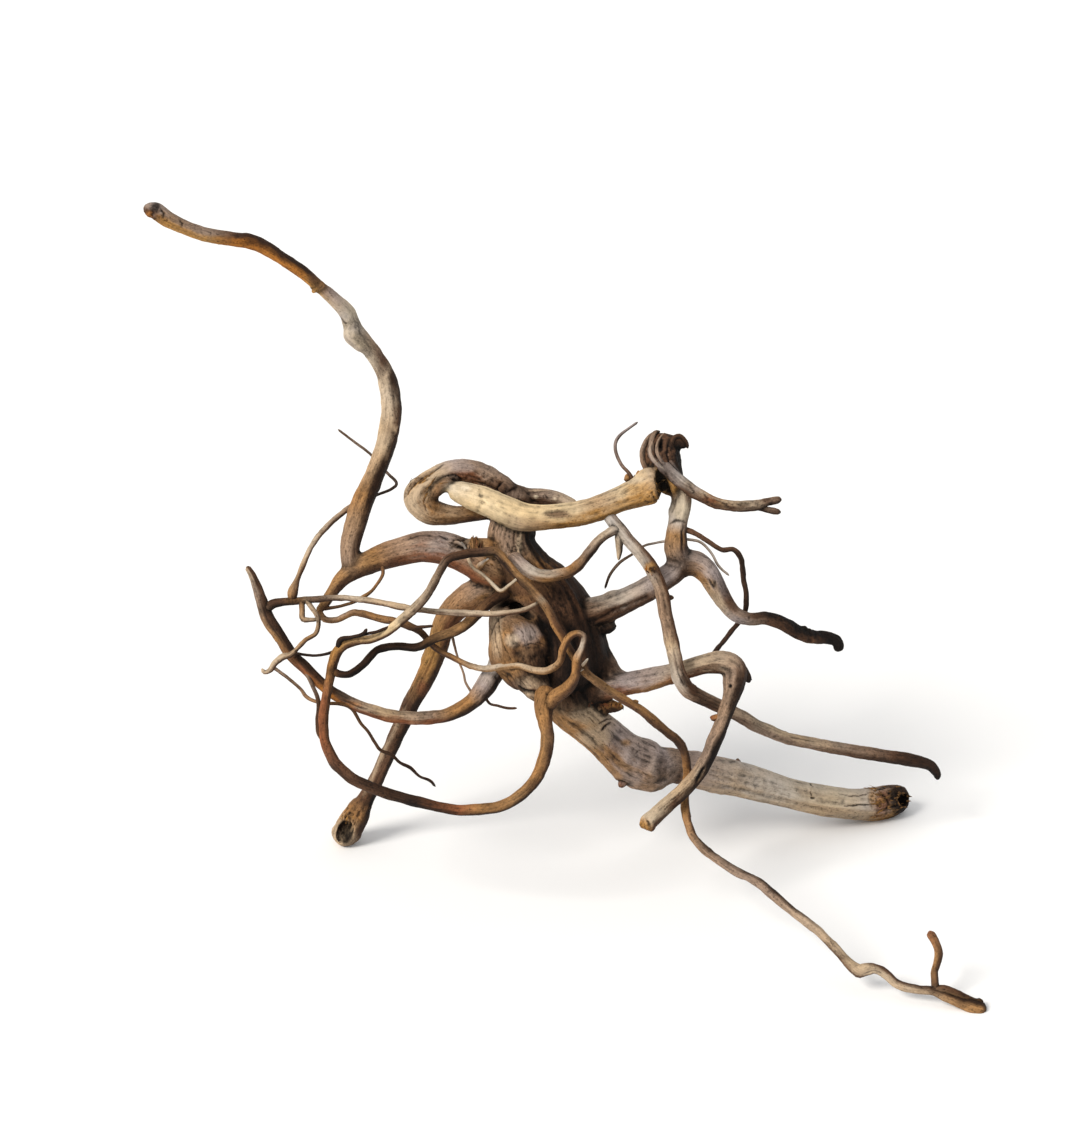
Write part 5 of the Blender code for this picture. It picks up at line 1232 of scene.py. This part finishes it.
def wood_material(name="weathered_wood"):
    """Dry weathered wood: the painted colour under fibres, pores, specks and fine cracks along the grain."""
    wood = bpy.data.materials.new(name)
    wood.use_nodes = True
    add, join = node_kit(wood)
    shader = wood.node_tree.nodes["Principled BSDF"]
    shader.inputs["Specular IOR Level"].default_value = 0.14
    colour = add("ShaderNodeAttribute", attribute_name="colour_and_painted_shade")
    grain = add("ShaderNodeAttribute", attribute_name="grain")
    roughness_mask = add("ShaderNodeAttribute", attribute_name="roughness_mask")

    def grain_noise(wide, long, detail, rough=0.6):
        mapping = add("ShaderNodeMapping", vector_type="POINT")
        mapping.inputs["Scale"].default_value = (1.0 / wide, 1.0 / wide, 1.0 / long)
        noise = add("ShaderNodeTexNoise", Scale=1.0, Detail=detail, Roughness=rough)
        join(grain.outputs["Vector"], mapping.inputs["Vector"])
        join(mapping.outputs["Vector"], noise.inputs["Vector"])
        return noise.outputs["Fac"]

    def ranged(source, low, high, first, last):
        node = add("ShaderNodeMapRange")
        for label, value in (("From Min", low), ("From Max", high), ("To Min", first), ("To Max", last)):
            node.inputs[label].default_value = value
        join(source, node.inputs["Value"])
        return node.outputs["Result"]

    def ramp(source, stops):
        node = add("ShaderNodeValToRGB")
        elements = node.color_ramp.elements
        while len(elements) < len(stops):
            elements.new(0.5)
        for element, (place, value) in zip(elements, stops):
            element.position = place
            element.color = (value, value, value, 1.0)
        join(source, node.inputs["Fac"])
        return node.outputs["Color"]

    def mix(first, second, share, **settings):
        node = add("ShaderNodeMix", **settings)
        node.inputs["Factor"].default_value = share
        join(first, node.inputs["A"])
        join(second, node.inputs["B"])
        return node.outputs["Result"]

    def multiplied(first, second):
        return mix(first, second, 1.0, data_type="RGBA", blend_type="MULTIPLY")

    def mixed_height(first, second, share):
        return mix(first, second, share, data_type="FLOAT")

    fibres = grain_noise(0.5 * MM, 6.0 * MM, 3.0)
    strands = grain_noise(1.6 * MM, 24.0 * MM, 2.0)
    cracks = grain_noise(0.8 * MM, 16.0 * MM, 1.0, 0.4)
    crumbs = grain_noise(0.75 * MM, 1.1 * MM, 2.0)
    specks = grain_noise(1.5 * MM, 2.2 * MM, 3.0, 0.7)
    shades = multiplied(ramp(fibres, [(0.3, 0.76), (0.5, 1.0), (0.7, 1.24)]),
                        ramp(strands, [(0.3, 0.80), (0.5, 1.03), (0.72, 1.22)]))
    shades = multiplied(shades, ramp(crumbs, [(0.25, 0.5), (0.45, 1.0), (0.75, 1.3)]))
    shades = multiplied(shades, ramp(specks, [(0.30, 0.42), (0.40, 1.0)]))
    shades = multiplied(shades, ramp(cracks, [(0.22, 0.45), (0.29, 1.0)]))
    grey = add("ShaderNodeRGBToBW")
    join(colour.outputs["Color"], grey.inputs["Color"])
    plainness = ranged(grey.outputs["Val"], 0.18, 0.42, 1.0, 0.35)
    worked = multiplied(colour.outputs["Color"], shades)
    join(plainness, worked.node.inputs["Factor"])
    join(worked, shader.inputs["Base Color"])

    height = mixed_height(fibres, strands, 0.3)
    height = mixed_height(height, ramp(cracks, [(0.24, 0.0), (0.33, 1.0)]), 0.25)
    height = mixed_height(height, crumbs, 0.3)
    height = mixed_height(height, specks, 0.3)
    bump = add("ShaderNodeBump", Distance=0.9 * MM)
    join(height, bump.inputs["Height"])
    join(plainness, bump.inputs["Strength"])
    join(bump.outputs["Normal"], shader.inputs["Normal"])
    unevenness = mixed_height(strands, roughness_mask.outputs["Fac"], 0.4)
    join(ranged(unevenness, 0.0, 1.0, 0.62, 0.86), shader.inputs["Roughness"])
    return wood


def the_wood():
    """The one wood material, made once."""
    return bpy.data.materials.get("weathered_wood") or wood_material()


def hand_over(thing):
    """Puts the wood on a finished piece and ties the piece to the frame."""
    thing.data.materials.clear()
    thing.data.materials.append(the_wood())
    smooth_shaded(thing.data)
    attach(thing, BODY)
    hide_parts(NODE)


def grounded(places):
    """Places below the floor are lifted to it, which grinds the flats that the root stands on."""
    return np.column_stack([places[:, :2], np.maximum(places[:, 2], 0.0)])


def rotted_egg(name, middle, halves, tilt):
    """A rough egg: half sizes times (sin v cos u, sin v sin u, cos v) times 1 + noise, turned by the tilt."""
    rounds, rows = 72, 48
    u, v = angles_round(rounds), (np.arange(rows) + 0.5) * math.pi / rows
    ball = np.stack([np.sin(v)[:, None] * np.cos(u), np.sin(v)[:, None] * np.sin(u),
                     np.cos(v)[:, None] + 0.0 * u], axis=-1).reshape(-1, 3)
    ball = np.vstack([ball, [[0.0, 0.0, 1.0], [0.0, 0.0, -1.0]]])
    ball *= 1.0 + 0.13 * layered(ball * 2.3, seed=71)[:, None]
    first, second = (math.radians(angle) for angle in tilt)
    turn_x = np.array([[1, 0, 0], [0, math.cos(first), -math.sin(first)],
                       [0, math.sin(first), math.cos(first)]])
    turn_y = np.array([[math.cos(second), 0, math.sin(second)], [0, 1, 0],
                       [-math.sin(second), 0, math.cos(second)]])
    places = ball * np.array(halves) * MM @ (turn_y @ turn_x).T + sheet_to_world(middle)
    return mesh_object(name, places, *tube_faces(rows, rounds))


def painted_hollow_shade(places):
    """How much shade is painted on each place for lying inside a hollow."""
    dark = np.zeros(len(places))
    for middle, halves, _ in (HOLLOWS | SMALL_HOLLOWS).values():
        apart = (places - sheet_to_world(middle)) / (np.array(halves) * MM)
        dark = np.maximum(dark, 0.9 * (1.0 - eased(0.85, 1.12, np.linalg.norm(apart, axis=1))))
    return dark


class BOGWOOD_OT_stout_wood(bpy.types.Operator):
    """Build the stump, the trunk, the leg and the stout arms as one fused skin"""

    bl_idname = "bogwood.stout_wood"
    bl_label = "Stout wood"

    def execute(self, context):
        sizes = context.scene.bogwood_sizes
        routes, tubes = STOUT_ROUTES | FOLD_ROUTES, []
        for seed, route in enumerate(routes.values()):
            line = root_line(route, sizes.stout_step, 100 + seed, 0.3 * sizes.sway)
            sides = max(16, round(math.tau * line.halves.max() / sizes.stout_step))
            relief = surface_relief(line, angles_round(sides), 200 + 50 * seed, sizes)
            tubes.append(carried_ring(line, sides, relief))
        wood = mesh_object("bogwood_stout_wood", *joined(tubes))
        fuse = wood.modifiers.new("fuse", "REMESH")
        fuse.mode = "VOXEL"
        fuse.voxel_size = sizes.fuse_cell
        apply_modifiers(wood)
        lines = lines_of(routes, 2.0 * MM)
        places = vertex_rows(wood.data)
        skin = skin_of(places, lines)
        evening = np.full(len(places), 0.45)
        places = relaxed(wood.data, places, evening, rounds=2)
        rounding = 0.6 * (1.0 - eased(0.25 * sizes.crease_reach, sizes.crease_reach, skin.crease))
        places = relaxed(wood.data, places, rounding, rounds=14)
        set_places(wood.data, grounded(places))
        normals = vertex_rows(wood.data, "normal")
        behind = sizes.back_ribs * eased(0.1, 0.6, -normals @ SHEET_OUT)
        ribs = behind * along_grain(skin.grain, 6.0, 40.0, seed=107, layers=2)
        set_places(wood.data, grounded(vertex_rows(wood.data) + ribs[:, None] * normals))
        carve(wood, skin, lines, sizes, sizes.stout_bark)
        eggs = [rotted_egg(name, *hollow) for name, hollow in (HOLLOWS | SMALL_HOLLOWS).items()]
        combine(wood, eggs, "DIFFERENCE")
        thin_out = wood.modifiers.new("thin_out", "DECIMATE")
        triangles = sum(len(face.vertices) - 2 for face in wood.data.polygons)
        thin_out.ratio = min(1.0, sizes.stout_faces / triangles)
        thin_out.use_collapse_triangulate = True
        apply_modifiers(wood)
        places = grounded(vertex_rows(wood.data))
        set_places(wood.data, places)
        paint(wood, lines, painted_hollow_shade(places), context, sizes.stout_bark)
        hand_over(wood)
        return {"FINISHED"}


def fine_tubes(name, routes, seed, sizes):
    """Thin roots as finely ringed tubes, united into one piece."""
    tubes = []
    for place, (root, route) in enumerate(routes.items()):
        line = root_line(route, sizes.thin_step, seed + 7 * place, sizes.sway)
        sides = int(np.clip(round(math.tau * line.halves.mean() / sizes.thin_round), 8, 40))
        relief = surface_relief(line, angles_round(sides), seed + 50 * place, sizes)
        tubes.append(mesh_object(root, *carried_ring(line, sides, relief)))
    piece = tubes[0]
    combine(piece, tubes[1:], "UNION")
    piece.name = name
    return piece


class BOGWOOD_OT_thin_roots(bpy.types.Operator):
    """Build the thin roots and twigs that grow out of the stout wood"""

    bl_idname = "bogwood.thin_roots"
    bl_label = "Thin roots"

    def execute(self, context):
        sizes, routes = context.scene.bogwood_sizes, THIN_ROUTES | SURFACE_ROUTES
        thin = fine_tubes("bogwood_thin_roots", routes, 3000, sizes)
        lines = lines_of(routes, 1.5 * MM)
        carve(thin, skin_of(vertex_rows(thin.data), lines), lines, sizes, sizes.thin_bark)
        set_places(thin.data, grounded(vertex_rows(thin.data)))
        paint(thin, lines, np.zeros(len(thin.data.vertices)), context, sizes.thin_bark)
        hand_over(thin)
        return {"FINISHED"}


class BOGWOOD_OT_hair_roots(bpy.types.Operator):
    """Build the hair roots and the finest twigs"""

    bl_idname = "bogwood.hair_roots"
    bl_label = "Hair roots"

    def execute(self, context):
        sizes = context.scene.bogwood_sizes
        hair = fine_tubes("bogwood_hair_roots", HAIR_ROUTES, 9000, sizes)
        lines = lines_of(HAIR_ROUTES, 1.5 * MM)
        paint(hair, lines, np.zeros(len(hair.data.vertices)), context, sizes.thin_bark)
        hand_over(hair)
        return {"FINISHED"}


def seated(points, skin, normals):
    """The nearest place of the skin to each point, and the normal there."""
    nearest = np.empty(len(points), int)
    for row, point in enumerate(points):
        nearest[row] = ((skin - point) ** 2).sum(axis=1).argmin()
    return skin[nearest], normals[nearest]


def fibre_bunch(seed, skin, normals, middle, way, count, size, spread):
    """A bunch of torn fibres, each a five-sided spike that lies on the wood and thins as 1 - t^2.

    A fibre starts where its point of the bunch is nearest to the skin. It runs the bunch's way, laid
    down on the skin there, lifts off by its angle and bends a little.
    """
    draw = np.random.default_rng(seed)
    sides, rings = 5, 6
    turn_spread, lift_spread, bend_spread, flatness, tip_loss = 12.0, 6.0, 0.10, 1.3, 0.92
    points = sheet_to_world(np.asarray(middle) + draw.normal(0.0, 0.5, (count, 3)) * np.asarray(spread))
    roots, outward = seated(points, skin, normals)
    turn = np.radians(way[0] + draw.normal(0.0, turn_spread, count))
    run = np.cos(turn)[:, None] * SHEET_RIGHT + np.sin(turn)[:, None] * SHEET_UP
    run = unit(run - (run * outward).sum(axis=1, keepdims=True) * outward)
    lift = np.radians(np.abs(way[1] + draw.normal(0.0, lift_spread, count)))
    lines = unit(np.cos(lift)[:, None] * run + np.sin(lift)[:, None] * outward)
    length = size[0] * MM * draw.uniform(0.4, 1.0, count)
    half = 0.5 * size[1] * MM * draw.uniform(0.5, 1.0, count)
    aside = unit(np.cross(lines, outward))
    across = np.cross(lines, aside)
    t = np.linspace(0.0, 1.0, rings)
    bend = aside * draw.normal(0.0, bend_spread, count)[:, None]
    middles = (roots[:, None] + (lines * length[:, None])[:, None] * (t - 0.3)[:, None]
               + (bend * length[:, None])[:, None] * (t ** 2)[:, None])
    angles = angles_round(sides)
    wide = half[:, None] * (1.0 - tip_loss * t ** 2)[None]
    rim = (aside[:, None, None] * np.cos(angles)[:, None] * flatness
           + across[:, None, None] * np.sin(angles)[:, None])
    spikes = middles[:, :, None] + wide[:, :, None, None] * rim
    per = rings * sides
    number = np.arange(per).reshape(rings, sides)
    ahead = np.roll(number, -1, axis=1)
    quads = np.stack([number[:-1], ahead[:-1], ahead[1:], number[1:]], axis=-1).reshape(-1, 4)
    ends = np.array([[0, step + 1, step] for step in range(1, sides - 1)]
                    + [[per - sides, per - sides + step, per - sides + step + 1]
                       for step in range(1, sides - 1)])
    offsets = (np.arange(count) * per)[:, None, None]
    return spikes.reshape(-1, 3), (quads + offsets).reshape(-1, 4), (ends + offsets).reshape(-1, 3)


class BOGWOOD_OT_torn_fibres(bpy.types.Operator):
    """Build the torn fibres at the broken ends, splits and tears"""

    bl_idname = "bogwood.torn_fibres"
    bl_label = "Torn fibres"

    def execute(self, context):
        colours = context.scene.bogwood_colours
        wood = [bpy.data.objects[name].data for name in ("bogwood_stout_wood", "bogwood_thin_roots")]
        skin = np.vstack([vertex_rows(mesh) for mesh in wood])
        normals = np.vstack([vertex_rows(mesh, "normal") for mesh in wood])
        bunches, tones = [], []
        for seed, row in enumerate(TORN_FIBRES.values()):
            middle, way, (count,), size, spread, (first, second) = row
            bunches.append(fibre_bunch(500 + seed, skin, normals, middle, way, int(count), size, spread))
            tint = eased(-0.6, 0.6, all_round(bunches[-1][0], 1.2, seed=12, layers=2))[:, None]
            low, high = (np.array(getattr(colours, tone)) for tone in (first, second))
            tones.append(low + tint * (high - low))
        torn = mesh_object("bogwood_torn_fibres", *joined(bunches))
        colour = np.vstack(tones)
        store(torn.data, "colour_and_painted_shade", "FLOAT_COLOR", "color",
              np.column_stack([colour, np.ones(len(colour))]))
        store(torn.data, "grain", "FLOAT_VECTOR", "vector", vertex_rows(torn.data))
        store(torn.data, "roughness_mask", "FLOAT", "value", np.full(len(colour), 0.5))
        hand_over(torn)
        return {"FINISHED"}


def soft_sun(name, toward, strength, spread, colour):
    """A wide soft light that shines the same everywhere, from the given direction."""
    lamp = bpy.data.lights.new(name, "SUN")
    lamp.energy = strength
    lamp.angle = spread
    lamp.color = colour
    light = bpy.data.objects.new(name, lamp)
    flat = math.hypot(toward[0], toward[1])
    light.rotation_euler = (math.atan2(flat, toward[2]), 0.0, math.atan2(toward[0], -toward[1]))
    bpy.context.scene.collection.objects.link(light)


class BOGWOOD_OT_stage(bpy.types.Operator):
    """Build the pale floor, the soft lights and the camera"""

    bl_idname = "bogwood.stage"
    bl_label = "Stage"

    def execute(self, context):
        scene, stage = context.scene, context.scene.bogwood_stage
        corners = FLOOR_REACH * np.array([[-1, -1, 0], [1, -1, 0], [1, 1, 0], [-1, 1, 0]])
        floor = mesh_object("pale_floor", corners, np.array([[0, 1, 2, 3]]), np.zeros((0, 3), int))
        paper = bpy.data.materials.new("pale_paper")
        paper.use_nodes = True
        shader = paper.node_tree.nodes["Principled BSDF"]
        shader.inputs["Base Color"].default_value = (*stage.floor, 1.0)
        shader.inputs["Roughness"].default_value = 0.9
        floor.data.materials.append(paper)
        middle = np.array(SHEET_PLACE) * MM
        soft_sun("key_light", KEY_WAY, stage.key, stage.key_spread, KEY_TINT)
        world = bpy.data.worlds.new("pale_room")
        world.use_nodes = True
        world.node_tree.nodes["Background"].inputs["Strength"].default_value = stage.sky
        world.node_tree.nodes["Background"].inputs["Color"].default_value = (1.0, 1.0, 1.0, 1.0)
        scene.world = world
        lens = bpy.data.cameras.new("camera")
        lens.lens = stage.lens
        lens.sensor_width = 36.0
        lens.clip_start, lens.clip_end = 0.05, 60.0
        camera = bpy.data.objects.new("camera", lens)
        camera.location = middle + EYE_DISTANCE * MM * SHEET_OUT
        camera.rotation_euler = (math.radians(90.0) - VIEW_HEIGHT, 0.0, 0.0)
        scene.collection.objects.link(camera)
        scene.camera = camera
        scene.view_settings.view_transform = "Standard"
        return {"FINISHED"}


class BOGWOOD_PT_panel(bpy.types.Panel):
    """The sizes, the colours and a button for each piece"""

    bl_idname = "BOGWOOD_PT_panel"
    bl_label = "Bogwood root"
    bl_space_type = "VIEW_3D"
    bl_region_type = "UI"
    bl_category = "Bogwood"

    def draw(self, context):
        layout = self.layout
        for operator in OPERATORS:
            layout.operator(operator.bl_idname)
        for group in (context.scene.bogwood_sizes, context.scene.bogwood_colours,
                      context.scene.bogwood_stage):
            box = layout.box()
            for name in group.__annotations__:
                box.prop(group, name)


OPERATORS = (BOGWOOD_OT_stage, BOGWOOD_OT_stout_wood, BOGWOOD_OT_thin_roots, BOGWOOD_OT_hair_roots,
             BOGWOOD_OT_torn_fibres)
CLASSES = (BogwoodColours, BogwoodSizes, BogwoodStage, *OPERATORS, BOGWOOD_PT_panel)


def register():
    """Registers the classes and ties the three groups of properties to the scene."""
    for kind in CLASSES:
        bpy.utils.register_class(kind)
    bpy.types.Scene.bogwood_colours = PointerProperty(type=BogwoodColours)
    bpy.types.Scene.bogwood_sizes = PointerProperty(type=BogwoodSizes)
    bpy.types.Scene.bogwood_stage = PointerProperty(type=BogwoodStage)


def unregister():
    """Takes back what register does."""
    del bpy.types.Scene.bogwood_colours
    del bpy.types.Scene.bogwood_sizes
    del bpy.types.Scene.bogwood_stage
    for kind in reversed(CLASSES):
        bpy.utils.unregister_class(kind)


def main():
    """Builds the stage and the four pieces."""
    register()
    bpy.ops.bogwood.stage()
    bpy.ops.bogwood.stout_wood()
    bpy.ops.bogwood.thin_roots()
    bpy.ops.bogwood.hair_roots()
    bpy.ops.bogwood.torn_fibres()


if __name__ == "__main__":
    main()
